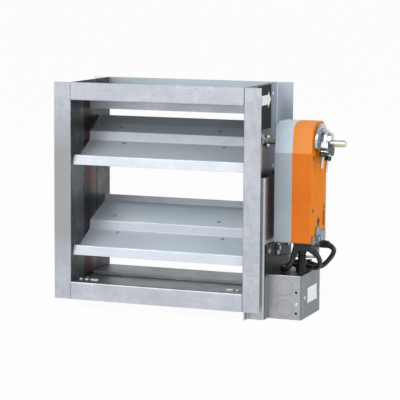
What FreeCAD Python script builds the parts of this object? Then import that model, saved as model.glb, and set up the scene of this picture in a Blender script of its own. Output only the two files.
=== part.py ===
import FreeCAD, Part
import math
import os

V = FreeCAD.Vector
X_AXIS = V(1, 0, 0)
Y_AXIS = V(0, 1, 0)
Z_AXIS = V(0, 0, 1)

# Frame of the part: origin at the middle of the duct opening, in the plane of the front flanges.
# X runs along the blades, Y from front to rear through the duct, Z up.

# Duct frame
opening_width = 304.8
opening_height = 304.8
frame_depth = 165.1
flange_width = 30.0
frame_sheet = 1.6
frame_bend = 1.2

# Blades and axles
lower_axle_rise = 90.5
upper_axle_drop = 61.9
shaft_diameter = 11.1
open_tilt = 31.0
blade_sheet = 1.6
blade_bend = 1.0
blade_end_gap = 1.5
sill_tip_gap = 3.3
head_edge_gap = 11.9
blade_overlap = 10.5
front_lip = 11.3
lip_angle = 44.0
valley_run = 11.7
lip_tip_drop = 1.3
step_angle = 50.0
slope_angle = -10.0
rear_lip_rise = 8.4
rear_lip_run = 8.9
upper_tail_run = 22.0
upper_tail_height = 2.0
axle_chamfer = 0.8
stub_inner_end = 60.0
stub_past_bearing = 3.0
stub_past_crank = 1.0

# Axle saddles under the blades
saddle_width = 27.0
saddle_sheet = 1.8
saddle_foot = 13.0
saddle_wall_angle = -15.0
saddle_centres_upper = (-92.0, 87.0)
saddle_centres_lower = (-104.0, 86.0)
saddle_rivet_shift = 7.5
saddle_front_rivet = -19.5
saddle_rear_rivet = 13.0

# Fits
running_gap = 0.05
fixed_gap = 0.02
seat_gap = 0.1
free_gap = 0.3
open_pivot_gap = 0.25
side_gap = 0.5

# How far a cutting tool stands past the metal
cut_past = 1.0
cut_reach = 5.0

# Jamb seals and stops
seal_width = 55.0
seal_foot = 6.0
seal_crown = 12.0
seal_sheet = 0.3
head_stop_leg = 18.4
head_stop_foot = 16.0
head_stop_rivet_share = 0.6
head_stop_rivet_pitch = 110.0
stop_sheet = 1.6
stop_gap = 0.5
sill_stop_height = 5.4
sill_stop_lip = 2.5

# Fixing holes in the head and the sill
fixing_line = 28.0
fixing_outer = 147.0
fixing_inner = 136.0
fixing_slot = 122.0
fixing_hole_diameter = 6.4
fixing_slot_length = 14.0

# Corner cleats and pop rivets
cleat_leg = 22.0
cleat_front = 36.0
cleat_rear = 152.0
cleat_rivet_margin = 8.0
cleat_rivet_reach = 9.9
cleat_sheet = 2.0
rivet_shank = 3.2
rivet_head = 6.4
rivet_head_height = 1.1
rivet_tail = 4.8
rivet_tail_height = 1.3

# Spare rivet and spare hole that show on the outside of the right web
web_rivet_side = 147.0
web_rivet_height = 42.0
web_hole_side = 109.0
web_hole_height = 75.6
web_hole_diameter = 4.0

# Axle bearings
bearing_wall = 2.45
bearing_flange = 4.5
bearing_flange_thickness = 2.0

# Linkage in the right recess
crank_radius = 29.0
crank_angle = 166.0
crank_hub_wall = 4.0
crank_hub_length = 10.0
crank_stand_off = 1.0
crank_thickness = 4.0
crank_eye = 6.5
crank_screw_diameter = 4.0
crank_screw_share = 0.7
crank_screw_stand = 0.8
crank_screw_clear = 0.5
pin_diameter = 6.0
pin_head = 9.0
pin_head_thickness = 1.5
bar_thickness = 3.0
bar_eye = 7.0
bar_half_width = 5.5

# Airflow label on the right web
label_front = 62.0
label_rear = 133.0
label_low = 107.5
label_high = 180.4
label_thickness = 0.3

# Hex washer-head screws
screw_shank = 3.8
screw_head = 8.0
screw_head_height = 3.0
screw_flange = 9.5
screw_flange_height = 0.9
web_screw_tip = 0.7
plate_screw_tip = 4.0
strap_screw_tip = 3.0

# Pan-head screws
pan_head = 6.8
pan_head_height = 2.2
pan_slot_width = 0.9
pan_slot_depth = 0.8
cover_screw_length = 6.0

# Actuator bracket, a hat section screwed to the right web
bracket_depth = 30.0
bracket_sheet = 2.0
bracket_bend = 1.5
bracket_front = 18.0
bracket_rear = 147.0
bracket_front_foot = 4.0
bracket_rear_foot = 160.0
bracket_top = 36.0
bracket_bottom = -196.5
bracket_low_screw_rise = 40.0
bracket_high_screw_drop = 16.0
plate_top_drop = 2.5
plate_screw_drop = 10.5
plate_screw_margin = 16.0

# Junction box
box_width = 101.6
box_height = 73.0
box_depth = 56.0
box_sheet = 1.6
box_front = 30.4
box_top = -122.0
box_corner = 1.6
cover_margin = 0.2
cover_screw_drop = 37.6
cover_screw_front = 15.5
cover_screw_rear = 4.5
cover_tab_front = 21.0
cover_tab_rear = 9.0
cover_tab_half = 6.0
back_screw_margin = 14.0
knockout_diameter = 28.2
knockout_gap = 0.3
knockout_from_plate = 29.5
knockout_heights = (-142.0, -177.0)
box_hole_from_cover = 7.0
box_hole_heights = (-149.5, -184.0)
box_hole_diameter = 4.0
ground_screw_height = -168.5

# Actuator housing
actuator_stand_off = 8.5
base_depth = 29.5
cover_depth = 32.5
actuator_half_width = 42.0
actuator_top_half = 35.5
actuator_rise = 35.0
actuator_shoulder = -14.5
actuator_shoulder_top = 25.5
actuator_wall = 2.5
actuator_crown = 16.0
actuator_foot_corner = 3.0
actuator_shoulder_corner = 2.5
actuator_neck_corner = 2.5
actuator_top_corner = 8.0
neck_inset_share = 0.4
crown_inset_share = 0.5
cover_edge = 1.2
lead_room = 14.5
housing_screw_side = 31.0
housing_screw_high = 23.3
housing_screw_low = 108.1
housing_screw_bite = 8.0
boss_diameter = 6.8
boss_end_gap = 1.0

# Anti-rotation strap
strap_middle = 79.0
strap_width = 13.0
strap_sheet = 2.0
strap_bend = 2.0
strap_flange_front = 46.0
strap_flange_rear = 119.0
strap_flange_drop = 2.0
strap_flange_rise = 25.0
strap_front_step = 14.0
strap_rear_step = 9.5
strap_step_run = 3.0
strap_top_half = 11.0
strap_low_corner = 2.0
strap_side_corner = 1.0
strap_top_corner = 3.0
strap_floor_drop = 25.0
strap_foot_rise = 18.0
strap_foot_screw_rise = 11.0
strap_screw_rise = 5.5
strap_screw_side = 6.5

# Actuator output and shaft clamp
hub_wall = 4.4
hub_end_stand_off = 2.5
disc_gap = 1.0
disc_diameter = 64.0
disc_thickness = 5.0
disc_flat_drop = 16.0
disc_edge = 1.2
ring_diameter = 47.0
ring_thickness = 2.0
yoke_thickness = 13.0
yoke_half_width = 10.2
yoke_reach = 7.0
yoke_floor = 1.5
jaw_half_width = 20.0
jaw_top = -2.5
jaw_bottom = -18.0
jaw_corner_rise = 5.0
jaw_corner_run = 6.0
jaw_groove_count = 5
jaw_groove_start = 1.5
jaw_groove_pitch = 2.4
jaw_groove_width = 1.0
jaw_groove_depth = 1.2
jaw_groove_half = 2.0
clamp_tilt = 20.0
u_bolt_wire = 5.0
u_bolt_half_width = 13.0
u_bolt_leg = 46.0
u_bolt_set_back = 5.0
nut_across = 11.0
nut_thickness = 6.0
washer_diameter = 15.0
washer_thickness = 1.6
shaft_overhang = 23.8

# Gear train
gear_module = 1.5
output_teeth = 40
first_pinion_teeth = 18
first_wheel_teeth = 40
second_pinion_teeth = 16
second_wheel_teeth = 44
motor_pinion_teeth = 14
pressure_angle = 20.0
gear_backlash = 0.3
flank_start = 0.2
tooth_top = 0.8
tooth_root = 1.05
gear_face = 6.0
gear_side_room = 1.0
gear_end_room = 0.5
switch_room = 6.5
plate_stand_off = 3.0
arbor_diameter = 6.0
rotor_diameter = 4.0
gear_plate_thickness = 1.5
gear_plate_half_width = 37.0
gear_plate_rise = 24.0
gear_plate_shoulder = 20.0
gear_plate_neck = 10.0
gear_plate_foot_corner = 6.0
gear_plate_side_corner = 12.0
gear_plate_top_corner = 10.0
inner_plate_drop = 32.0
outer_plate_drop = 22.0
post_diameter = 5.0
post_inset = 3.5
motor_post_drop = 17.0

# Motor, spring, switches and board inside the actuator
motor_diameter = 36.0
motor_length = 22.0
motor_front_edge = 1.5
motor_rear_edge = 2.5
motor_boss_radius = 6.0
motor_boss_height = 1.0
barrel_diameter = 62.0
barrel_wall = 1.5
barrel_length = 20.0
spring_strip = 0.6
spring_inner = 12.0
spring_turns = 6
spring_pitch = 2.4
spring_end_room = 0.5
cam_radius = 13.0
cam_flat_share = 0.8
cam_side_room = 0.6
switch_length = 16.0
switch_height = 10.0
switch_stand_off = 4.0
lever_inset = 1.0
lever_half = 1.0
board_rise = 5.0
board_thickness = 1.6
board_half_width = 29.0
board_height = 30.0
board_stand_off = 1.5
board_post_radius = 1.5
board_post_side = 4.0
board_post_margin = 3.0
capacitor_radius = 5.0
capacitor_height = 9.0
capacitor_side = -20.0
capacitor_rise = 9.0
relay_height = 8.0
relay_sides = (-8.0, 4.0)
relay_rises = (2.0, 14.0)
terminal_height = 7.0
terminal_sides = (12.0, 28.0)
terminal_rises = (1.5, 9.5)
socket_diameter = 9.4
socket_across = 5.0
socket_depth = 6.0
socket_floor = 1.0
slot_side = 29.0
slot_low = -47.6
slot_high = -24.0
slot_width = 5.4
slot_round_share = 0.98
slider_length = 11.0
slider_recess = 0.6
slider_grip_depth = 1.4
slider_grip_half = 3.0
slider_grip_width = 1.0
slider_flange = 1.5
slider_flange_side = 2.0

# Leads, with the middle points of their routes
lead_diameter = 8.0
power_route = [(228, 52, -79), (223, 51.5, -92), (220.5, 50.5, -104.5), (211.5, 50.5, -115.5), (202, 58, -117.2),
               (199, 71, -116.5), (202, 85, -114), (214.5, 93, -112)]
open_switch_route = [(246, 60, -79), (257, 63, -88), (263.5, 67, -99), (261.5, 72.5, -111), (251, 77.5, -116),
                     (233.5, 80, -112)]
closed_switch_route = [(252, 111, -77.5), (266, 111, -80), (277.5, 110.5, -90.5), (255, 107, -118.5),
                       (244, 106, -114.5), (233.5, 106, -112)]
route_round_share = 0.45

# Boots under the actuator and the ribbed sleeve
boot_depth = 13.0
boot_edge = 1.8
front_boot_inner = 223.5
front_boot_front = 46.0
front_boot_rear = 73.0
rear_boot_inner = 238.0
rear_boot_front = 100.0
rear_boot_rear = 122.0
rear_outlet_diameter = 12.4
rear_outlet_drop = 8.9
rear_outlet_inset = 4.0
rear_outlet_reach = 10.0
sleeve_diameter = 14.5
sleeve_side = 64.0
sleeve_cover_gap = 1.4
sleeve_plain = 14.0
sleeve_ribs = 6
sleeve_rib_depth = 1.2
sleeve_tail = 6.0

# Angle connectors on top of the junction box
elbow_diameter = 12.0
elbow_places = ((220.0, 93.0), (228.0, 80.0), (228.0, 106.0))
elbow_axis_rise = 10.0
elbow_mouth_reach = 2.0
elbow_nut_seat = 1.0
gland_across = 12.6
gland_length = 4.5
nipple_diameter = 10.0
nipple_tip = 3.0
locknut_diameter = 15.0
locknut_thickness = 3.0

# Twist-on splices in the junction box
splice_pitch_x = 12.0
splice_pitch_y = 10.0
splice_first_y = 30.0
splice_rim_radius = 5.0
splice_body_radius = 5.2
splice_rim_height = 2.0
splice_neck_radius = 3.4
splice_neck_height = 15.0
splice_tip_radius = 2.0
splice_height = 17.0

# Thermal cut-out on the right web
cutout_side = 112.0
cutout_height = -20.0
cutout_diameter = 16.0
cutout_depth = 9.0
cutout_boss = 11.0
cutout_flange = 4.0
cutout_flange_thickness = 1.2
cutout_tab_length = 6.0
cutout_tab_side = 4.0
cutout_tab_half = 3.0
cutout_tab_sheet = 0.8

# Places worked out from the sizes above
web_x = opening_width / 2
web_z = opening_height / 2
outer_x = web_x + flange_width
outer_z = web_z + flange_width
web_face = web_x + frame_sheet
web_face_z = web_z + frame_sheet
axle_y = frame_depth / 2
lower_axle_z = -web_z + lower_axle_rise
upper_axle_z = web_z - upper_axle_drop
axle_pitch = upper_axle_z - lower_axle_z
shaft_radius = shaft_diameter / 2
blade_half = web_x - blade_end_gap
seat_radius = shaft_radius + seat_gap
bearing_outer = shaft_radius + running_gap + bearing_wall
bearing_face = web_face + bearing_flange_thickness
bracket_plate = web_face + bracket_depth
plate_face = bracket_plate + bracket_sheet
box_bottom = box_top - box_height
box_rear = box_front + box_width
box_rim = plate_face + box_depth
box_cover_face = box_rim + box_sheet
box_hole_x = box_rim - box_hole_from_cover
cover_screw_z = box_top - cover_screw_drop
sleeve_x = box_rim - sleeve_cover_gap - sleeve_diameter / 2
base_x = bracket_plate + actuator_stand_off
split_x = base_x + base_depth
face_x = split_x + cover_depth
hub_radius = shaft_radius + fixed_gap + hub_wall
hub_start = base_x - hub_end_stand_off
disc_x = face_x + disc_gap
ring_x = disc_x + disc_thickness
yoke_x = ring_x + ring_thickness
clamp_end = yoke_x + yoke_thickness
shaft_end = clamp_end + shaft_overhang
u_bolt_x = yoke_x + u_bolt_set_back
first_z = upper_axle_z - gear_module * (output_teeth + first_pinion_teeth) / 2
second_z = first_z - gear_module * (first_wheel_teeth + second_pinion_teeth) / 2
motor_z = second_z - gear_module * (second_wheel_teeth + motor_pinion_teeth) / 2
actuator_bottom = motor_z - motor_diameter / 2 - lead_room
boot_bottom = actuator_bottom - boot_depth
box_plate_top = actuator_bottom - plate_top_drop
strap_floor = actuator_bottom - strap_floor_drop
floor_x = base_x + actuator_wall
inner_plate_x = floor_x + plate_stand_off
inner_plate_end = inner_plate_x + gear_plate_thickness
output_gear_x = inner_plate_end + switch_room
first_wheel_x = output_gear_x + gear_face + gear_side_room
second_wheel_x = first_wheel_x + gear_face
outer_plate_x = second_wheel_x + gear_face
motor_case_x = outer_plate_x + gear_plate_thickness


def unit(a, b):
    """Direction from the 2-D point a to b, with the distance."""
    dx = b[0] - a[0]
    dy = b[1] - a[1]
    length = math.hypot(dx, dy)
    return dx / length, dy / length, length


def corner_arcs(before, corner, after, thickness, bend):
    """Points of the two bend arcs at a corner: near start, middle, end and the same three far."""
    ax, ay, _ = unit(before, corner)
    bx, by, _ = unit(corner, after)
    turn = math.atan2(ax * by - ay * bx, ax * bx + ay * by)
    side = 1.0 if turn > 0 else -1.0
    near_radius = bend + thickness if side > 0 else bend
    far_radius = bend if side > 0 else bend + thickness
    run = near_radius * math.tan(abs(turn) / 2)
    start = (corner[0] - ax * run, corner[1] - ay * run)
    end = (corner[0] + bx * run, corner[1] + by * run)
    centre = (start[0] - ay * side * near_radius, start[1] + ax * side * near_radius)
    cx, cy, _ = unit(centre, corner)
    middle = (centre[0] + cx * near_radius, centre[1] + cy * near_radius)
    ratio = far_radius / near_radius
    near = [start, middle, end]
    far = [(centre[0] + (p[0] - centre[0]) * ratio, centre[1] + (p[1] - centre[1]) * ratio) for p in near]
    return near, far


def edges_through(pieces, place):
    """Edges from a list of 2-D points and three-point arcs, laid end to end."""
    edges = []
    here = None
    for piece in pieces:
        first = piece[0]
        if here is not None and math.dist(here, first) > 1e-7:
            edges.append(Part.LineSegment(place(*here), place(*first)).toShape())
        if len(piece) == 3:
            edges.append(Part.Arc(*[place(*p) for p in piece]).toShape())
        here = piece[-1]
    return edges


def bent_sheet(points, thickness, bend, place, sweep):
    """Folded sheet: the near face follows the points, the metal lies on their left side."""
    near = [[points[0]]]
    ax, ay, _ = unit(points[0], points[1])
    far = [[(points[0][0] - ay * thickness, points[0][1] + ax * thickness)]]
    for i in range(1, len(points) - 1):
        near_arc, far_arc = corner_arcs(points[i - 1], points[i], points[i + 1], thickness, bend)
        near.append(near_arc)
        far.append(far_arc)
    bx, by, _ = unit(points[-2], points[-1])
    near.append([points[-1]])
    far.append([(points[-1][0] - by * thickness, points[-1][1] + bx * thickness)])
    back = [piece[::-1] for piece in far[::-1]]
    loop = near + back + [near[0]]
    return Part.Face(Part.Wire(edges_through(loop, place))).extrude(sweep)


def rounded_loop(corners, place):
    """Closed wire through (a, b, radius) corners."""
    pieces = []
    count = len(corners)
    for i, (a, b, radius) in enumerate(corners):
        before = corners[i - 1][:2]
        after = corners[(i + 1) % count][:2]
        near, _ = corner_arcs(before, (a, b), after, 0.0, radius)
        pieces.append(near)
    pieces.append([pieces[0][0]])
    return Part.Wire(edges_through(pieces, place))


def prism(wire, sweep):
    return Part.Face(wire).extrude(sweep)


def box(x0, x1, y0, y1, z0, z1):
    return Part.makeBox(x1 - x0, y1 - y0, z1 - z0, V(x0, y0, z0))


def rod(radius, start, direction, length):
    return Part.makeCylinder(radius, length, start, direction)


def rod_x(radius, x0, x1, y, z):
    return rod(radius, V(x0, y, z), X_AXIS, x1 - x0)


def mirror_x(shape):
    return shape.mirror(V(0, 0, 0), X_AXIS)


def group(shapes):
    return Part.makeCompound(list(shapes))


def hex_prism(across, start, direction, length):
    """Six-sided bar with the given width across its flats."""
    direction = V(direction).normalize()
    helper = Z_AXIS if abs(direction.z) < 0.9 else X_AXIS
    u = direction.cross(helper).normalize()
    w = direction.cross(u)
    reach = across / math.sqrt(3)
    ring = []
    for k in range(7):
        angle = math.radians(60 * k)
        ring.append(start + u * (reach * math.cos(angle)) + w * (reach * math.sin(angle)))
    return Part.Face(Part.makePolygon(ring)).extrude(direction * length)


def revolve_about(points, origin, direction):
    """Solid of revolution: points are (radius, distance along the direction)."""
    direction = V(direction).normalize()
    helper = Z_AXIS if abs(direction.z) < 0.9 else X_AXIS
    u = direction.cross(helper).normalize()
    ring = [origin + u * r + direction * h for r, h in points]
    ring.append(ring[0])
    return Part.Face(Part.makePolygon(ring)).revolve(origin, direction, 360)


def rivet(point, direction, grip):
    """Pop rivet: domed head at the point, shank through the grip, set tail behind."""
    head = rivet_head / 2
    shank = rivet_shank / 2
    tail = rivet_tail / 2
    high = rivet_head_height
    back = -grip
    profile = [(0, high), (head * 0.55, high * 0.85), (head * 0.9, high * 0.4), (head, 0), (shank, 0),
               (shank, back), (tail, back), (tail * 0.8, back - rivet_tail_height), (0, back - rivet_tail_height)]
    return revolve_about(profile, point, direction)


def rivet_hole(point, direction, grip):
    start = point + V(direction) * cut_past
    return rod(rivet_shank / 2 + fixed_gap, start, -V(direction), grip + 2 * cut_past)


# Frame channels

def channel_points(web, outer):
    return [(outer, frame_depth), (web, frame_depth), (web, 0), (outer, 0)]


def blank_jamb():
    return bent_sheet(channel_points(web_x, outer_x), frame_sheet, frame_bend,
                      lambda x, y: V(x, y, -outer_z), V(0, 0, 2 * outer_z))


def blank_header():
    return bent_sheet(channel_points(web_z, outer_z), frame_sheet, frame_bend,
                      lambda z, y: V(-web_x, y, z), V(2 * web_x, 0, 0))


def fixing_cuts(z):
    """Two rounds and a slot near the front edge, on both sides of the middle."""
    r = fixing_hole_diameter / 2
    z0 = z - cut_reach
    z1 = z + cut_reach
    cuts = []
    half = fixing_slot_length / 2 - r
    for side in (-1, 1):
        middle = side * fixing_slot
        for x in (side * fixing_outer, side * fixing_inner, middle - half, middle + half):
            cuts.append(rod(r, V(x, fixing_line, z0), Z_AXIS, z1 - z0))
        cuts.append(box(middle - half, middle + half, fixing_line - r, fixing_line + r, z0, z1))
    return cuts


def cleat_rivet_spots():
    """Rivets of the four corner cleats: point, direction of the head, grip."""
    spots = []
    grip = frame_sheet + cleat_sheet
    for sx in (-1, 1):
        for sz in (-1, 1):
            for y in (cleat_front + cleat_rivet_margin, cleat_rear - cleat_rivet_margin):
                spots.append((V(sx * web_face, y, sz * (web_face_z + cleat_rivet_reach)), V(sx, 0, 0), grip))
                spots.append((V(sx * (web_x - cleat_rivet_reach), y, sz * web_z), V(0, 0, -sz), grip))
    return spots


def web_rivet_spots():
    """Rivet that shows on the outside of the right web, between the bracket and the label."""
    return [(V(web_face, web_rivet_side, web_rivet_height), X_AXIS, frame_sheet)]


def head_stop_line():
    """Rear face of the head stop, just ahead of the closed upper blade."""
    return axle_y - upper_tail_height - blade_sheet - stop_gap


def sill_stop_line():
    """Front edge of the sill stop, just behind the closed lower blade's tip."""
    return axle_y + lip_tip_drop + stop_gap


def stop_rivet_spots():
    spots = []
    head_y = head_stop_line() + head_stop_foot * head_stop_rivet_share
    for x in (-head_stop_rivet_pitch, 0.0, head_stop_rivet_pitch):
        spots.append((V(x, head_y, web_face_z), V(0, 0, 1), frame_sheet + stop_sheet))
    return spots


def frame_rivet_spots():
    return cleat_rivet_spots() + web_rivet_spots() + stop_rivet_spots()


def hollow_spots(shape, spots):
    for point, direction, grip in spots:
        shape = shape.cut(rivet_hole(point, direction, grip))
    return shape


def web_hole(radius, y, z):
    """Tool for a round hole through the right web."""
    return rod_x(radius, web_x - cut_reach, web_face + cut_reach, y, z)


def cut_bearing_holes(jamb):
    for z in (upper_axle_z, lower_axle_z):
        jamb = jamb.cut(web_hole(bearing_outer + fixed_gap, axle_y, z))
    return jamb


def right_jamb():
    jamb = cut_bearing_holes(blank_jamb())
    jamb = jamb.cut(web_hole(cutout_boss / 2 + free_gap, cutout_side, cutout_height))
    jamb = jamb.cut(web_hole(web_hole_diameter / 2, web_hole_side, web_hole_height))
    spots = [s for s in frame_rivet_spots() if s[0].x > web_x]
    jamb = hollow_spots(jamb, spots)
    return cut_screws(jamb, bracket_screw_spots())


def left_jamb():
    spots = [s for s in frame_rivet_spots() if s[0].x < -web_x]
    return hollow_spots(mirror_x(cut_bearing_holes(blank_jamb())), spots)


def head_channel():
    head = blank_header()
    for cut in fixing_cuts(web_z):
        head = head.cut(cut)
    spots = [s for s in frame_rivet_spots() if abs(s[0].x) < web_x and s[0].z > 0]
    return hollow_spots(head, spots)


def sill_channel():
    sill = blank_header().mirror(V(0, 0, 0), Z_AXIS)
    for cut in fixing_cuts(-web_z):
        sill = sill.cut(cut)
    spots = [s for s in frame_rivet_spots() if abs(s[0].x) < web_x and s[0].z < 0]
    return hollow_spots(sill, spots)


def corner_cleats():
    """Angles in the four outer corners: one leg on the jamb, one on the head or sill."""
    cleats = []
    points = [(web_x, web_face_z + cleat_leg), (web_x, web_face_z), (web_x - cleat_leg, web_face_z)]
    cleat = bent_sheet(points[::-1], cleat_sheet, frame_bend, lambda x, z: V(x, cleat_front, z),
                       V(0, cleat_rear - cleat_front, 0))
    for piece in (cleat, mirror_x(cleat)):
        for turned in (piece, piece.mirror(V(0, 0, 0), Z_AXIS)):
            cleats.append(hollow_spots(turned, cleat_rivet_spots()))
    return group(cleats)


def frame_rivets():
    return group(rivet(*spot) for spot in frame_rivet_spots())


def head_stop():
    """Angle under the head: its leg hangs ahead of the upper blade's rear edge."""
    y = head_stop_line()
    points = [(y + head_stop_foot, web_z), (y - stop_sheet, web_z), (y - stop_sheet, web_z - head_stop_leg)]
    angle = bent_sheet(points, stop_sheet, frame_bend, lambda a, b: V(-blade_half, a, b), V(2 * blade_half, 0, 0))
    return hollow_spots(angle, stop_rivet_spots())


def sill_stop():
    """Raised plate behind the lower blade's closed tip, on a leg set back from its edge."""
    y = sill_stop_line()
    top = -web_z + sill_stop_height
    rear = frame_depth - frame_sheet - frame_bend
    plate = box(-blade_half, blade_half, y, rear, top - stop_sheet, top)
    leg_y = y + sill_stop_lip
    leg = box(-blade_half, blade_half, leg_y, leg_y + stop_sheet, -web_z, top - stop_sheet)
    back = box(-blade_half, blade_half, rear - stop_sheet, rear, -web_z, top - stop_sheet)
    return plate.fuse(leg).fuse(back).removeSplitter()


def jamb_seal():
    """Thin bowed strip on the right jamb that the blade ends run past."""
    bow = blade_end_gap - seal_sheet - free_gap
    half = seal_width / 2
    points = [(web_x, axle_y - half), (web_x, axle_y - half + seal_foot), (web_x - bow, axle_y - seal_crown / 2),
              (web_x - bow, axle_y + seal_crown / 2), (web_x, axle_y + half - seal_foot), (web_x, axle_y + half)]
    low = -web_z + free_gap
    seal = bent_sheet(points, seal_sheet, frame_bend, lambda x, y: V(x, y, low), V(0, 0, 2 * web_z - 2 * free_gap))
    for z in (upper_axle_z, lower_axle_z):
        seal = seal.cut(web_hole(shaft_radius + 2 * free_gap, axle_y, z))
    x0 = web_x - cut_reach
    x1 = web_x + cut_reach
    stop_room = box(x0, x1, sill_stop_line() - free_gap, frame_depth, -web_z, -web_z + sill_stop_height)
    head_room = box(x0, x1, head_stop_line() - stop_sheet - free_gap,
                    head_stop_line() + head_stop_foot + free_gap, web_z - head_stop_leg - free_gap, web_z)
    return seal.cut(stop_room).cut(head_room)


def right_jamb_seal():
    return jamb_seal().cut(web_hole(cutout_boss / 2 + free_gap, cutout_side, cutout_height))


def left_jamb_seal():
    return mirror_x(jamb_seal())


def axle_bearing(z):
    """Flanged bush: body in the web, flange on the outside."""
    bore = shaft_radius + running_gap
    body = rod_x(bearing_outer, web_x, bearing_face, axle_y, z)
    flange = rod_x(bearing_outer + bearing_flange, web_face, bearing_face, axle_y, z)
    return body.fuse(flange).cut(web_hole(bore, axle_y, z)).removeSplitter()


def axle_bearings():
    right = [axle_bearing(z) for z in (upper_axle_z, lower_axle_z)]
    return group(right + [mirror_x(b) for b in right])


# Blades

def line_corner(normal_a, reach_a, normal_b, reach_b):
    """Meeting point of two lines, each given by its normal angle and distance from the axle."""
    ca, sa = math.cos(normal_a), math.sin(normal_a)
    cb, sb = math.cos(normal_b), math.sin(normal_b)
    det = ca * sb - sa * cb
    return (reach_a * sb - sa * reach_b) / det, (ca * reach_b - cb * reach_a) / det


def slope_height(run):
    """Underside of the blade's rear slope above the axle's centre line."""
    tilt = math.radians(-slope_angle)
    return (seat_radius - math.sin(tilt) * run) / math.cos(tilt)


def blade_front():
    """Underside points from the front tip to the crest over the axle."""
    reach = lower_axle_rise - sill_tip_gap
    lip = math.radians(lip_angle)
    tip = (-reach, -lip_tip_drop)
    crest = (-reach + front_lip, -lip_tip_drop + front_lip * math.tan(lip))
    valley = (crest[0] + valley_run, -seat_radius)
    step_normal = math.radians(step_angle + 90)
    foot = line_corner(step_normal, seat_radius, math.radians(-90), seat_radius)
    top = line_corner(step_normal, seat_radius, math.radians(slope_angle + 90), seat_radius)
    return [tip, crest, valley, foot, top]


def lower_profile():
    lip_run = axle_pitch - (lower_axle_rise - sill_tip_gap) + blade_overlap
    foot = (lip_run - rear_lip_run, slope_height(lip_run - rear_lip_run))
    lip = (lip_run, foot[1] + rear_lip_rise)
    return blade_front() + [foot, lip]


def upper_profile():
    end = upper_axle_drop - head_edge_gap
    knee = (end - upper_tail_run, slope_height(end - upper_tail_run))
    return blade_front() + [knee, (end, upper_tail_height)]


def blade_place(x, z0):
    """Map from the blade's own section to the frame, with the blade at its open tilt."""
    c = math.cos(math.radians(open_tilt))
    s = math.sin(math.radians(open_tilt))
    return lambda u, n: V(x, axle_y + u * c - n * s, z0 + u * s + n * c)


def blade_direction(angle):
    """Unit vector in the frame of a direction in the blade's section, degrees from its chord."""
    a = math.radians(angle + open_tilt)
    return V(0, math.cos(a), math.sin(a))


def saddle_rivet_spots(centres, z0):
    """Two rivets per saddle: through the flat ahead of the axle and through the slope behind it."""
    spots = []
    grip = blade_sheet + saddle_sheet
    for x in centres:
        front = blade_place(x + saddle_rivet_shift, z0)(saddle_front_rivet, -seat_radius + blade_sheet)
        spots.append((front, blade_direction(90), grip))
        tilt = math.radians(-slope_angle)
        run = saddle_rear_rivet
        rear = blade_place(x - saddle_rivet_shift, z0)(run + blade_sheet * math.sin(tilt),
                                                       slope_height(run) + blade_sheet * math.cos(tilt))
        spots.append((rear, blade_direction(90 + slope_angle), grip))
    return spots


def blade(profile, z0, centres):
    shape = bent_sheet(profile, blade_sheet, blade_bend, blade_place(-blade_half, z0), V(2 * blade_half, 0, 0))
    return hollow_spots(shape, saddle_rivet_spots(centres, z0))


def saddle(x, z0, centres):
    """Strap under the axle: feet on the flat and on the slope, bent round the shaft."""
    rear_end = (saddle_rear_rivet + saddle_foot / 2, slope_height(saddle_rear_rivet + saddle_foot / 2))
    wall = math.radians(saddle_wall_angle)
    high = line_corner(math.radians(slope_angle + 90), seat_radius, wall, seat_radius)
    low = line_corner(wall, seat_radius, math.radians(-90), seat_radius)
    front_end = (saddle_front_rivet - saddle_foot / 2, -seat_radius)
    strap = bent_sheet([rear_end, high, low, front_end], saddle_sheet, blade_bend,
                       blade_place(x - saddle_width / 2, z0), V(saddle_width, 0, 0))
    return hollow_spots(strap, saddle_rivet_spots(centres, z0))


def saddles(centres, z0):
    return group(saddle(x, z0, centres) for x in centres)


def saddle_rivets(centres, z0):
    return group(rivet(*spot) for spot in saddle_rivet_spots(centres, z0))


def axle(x0, x1, z0):
    """Round bar with a small chamfer at both ends."""
    r = shaft_radius
    c = axle_chamfer
    profile = [(0, 0), (r - c, 0), (r, c), (r, x1 - x0 - c), (r - c, x1 - x0), (0, x1 - x0)]
    return revolve_about(profile, V(x0, axle_y, z0), X_AXIS)


def drive_shaft():
    return axle(stub_inner_end, shaft_end, upper_axle_z)


def left_stub(z0):
    return axle(-bearing_face - stub_past_bearing, -stub_inner_end, z0)


def lower_stub_axles():
    crank_end = bearing_face + crank_stand_off + crank_hub_length
    right = axle(stub_inner_end, crank_end + stub_past_crank, lower_axle_z)
    return group([left_stub(lower_axle_z), right])


# Linkage

def crank_pin_at(z0):
    a = math.radians(crank_angle)
    return axle_y + crank_radius * math.cos(a), z0 + crank_radius * math.sin(a)


def link_plate(y0, z0, r0, y1, z1, r1, x, thickness):
    """Flat link with rounded ends, its sides tangent to both end circles."""
    uy, uz, length = unit((y0, z0), (y1, z1))
    lean = math.asin((r0 - r1) / length)
    base = math.atan2(uz, uy)

    def spot(y, z, r, angle):
        return V(x, y + r * math.cos(angle), z + r * math.sin(angle))

    up = base + math.pi / 2 - lean
    down = base - math.pi / 2 + lean
    edges = [Part.LineSegment(spot(y0, z0, r0, up), spot(y1, z1, r1, up)).toShape(),
             Part.Arc(spot(y1, z1, r1, up), spot(y1, z1, r1, base), spot(y1, z1, r1, down)).toShape(),
             Part.LineSegment(spot(y1, z1, r1, down), spot(y0, z0, r0, down)).toShape(),
             Part.Arc(spot(y0, z0, r0, down), spot(y0, z0, r0, base + math.pi), spot(y0, z0, r0, up)).toShape()]
    return prism(Part.Wire(edges), V(thickness, 0, 0))


def crank_screw(x, z0):
    """Set screw in the crank's hub, down to just above the axle."""
    top = z0 + shaft_radius + crank_hub_wall + crank_screw_stand
    length = crank_screw_stand + crank_hub_wall - crank_screw_clear
    return rod(crank_screw_diameter / 2, V(x, axle_y, top), -Z_AXIS, length)


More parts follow.
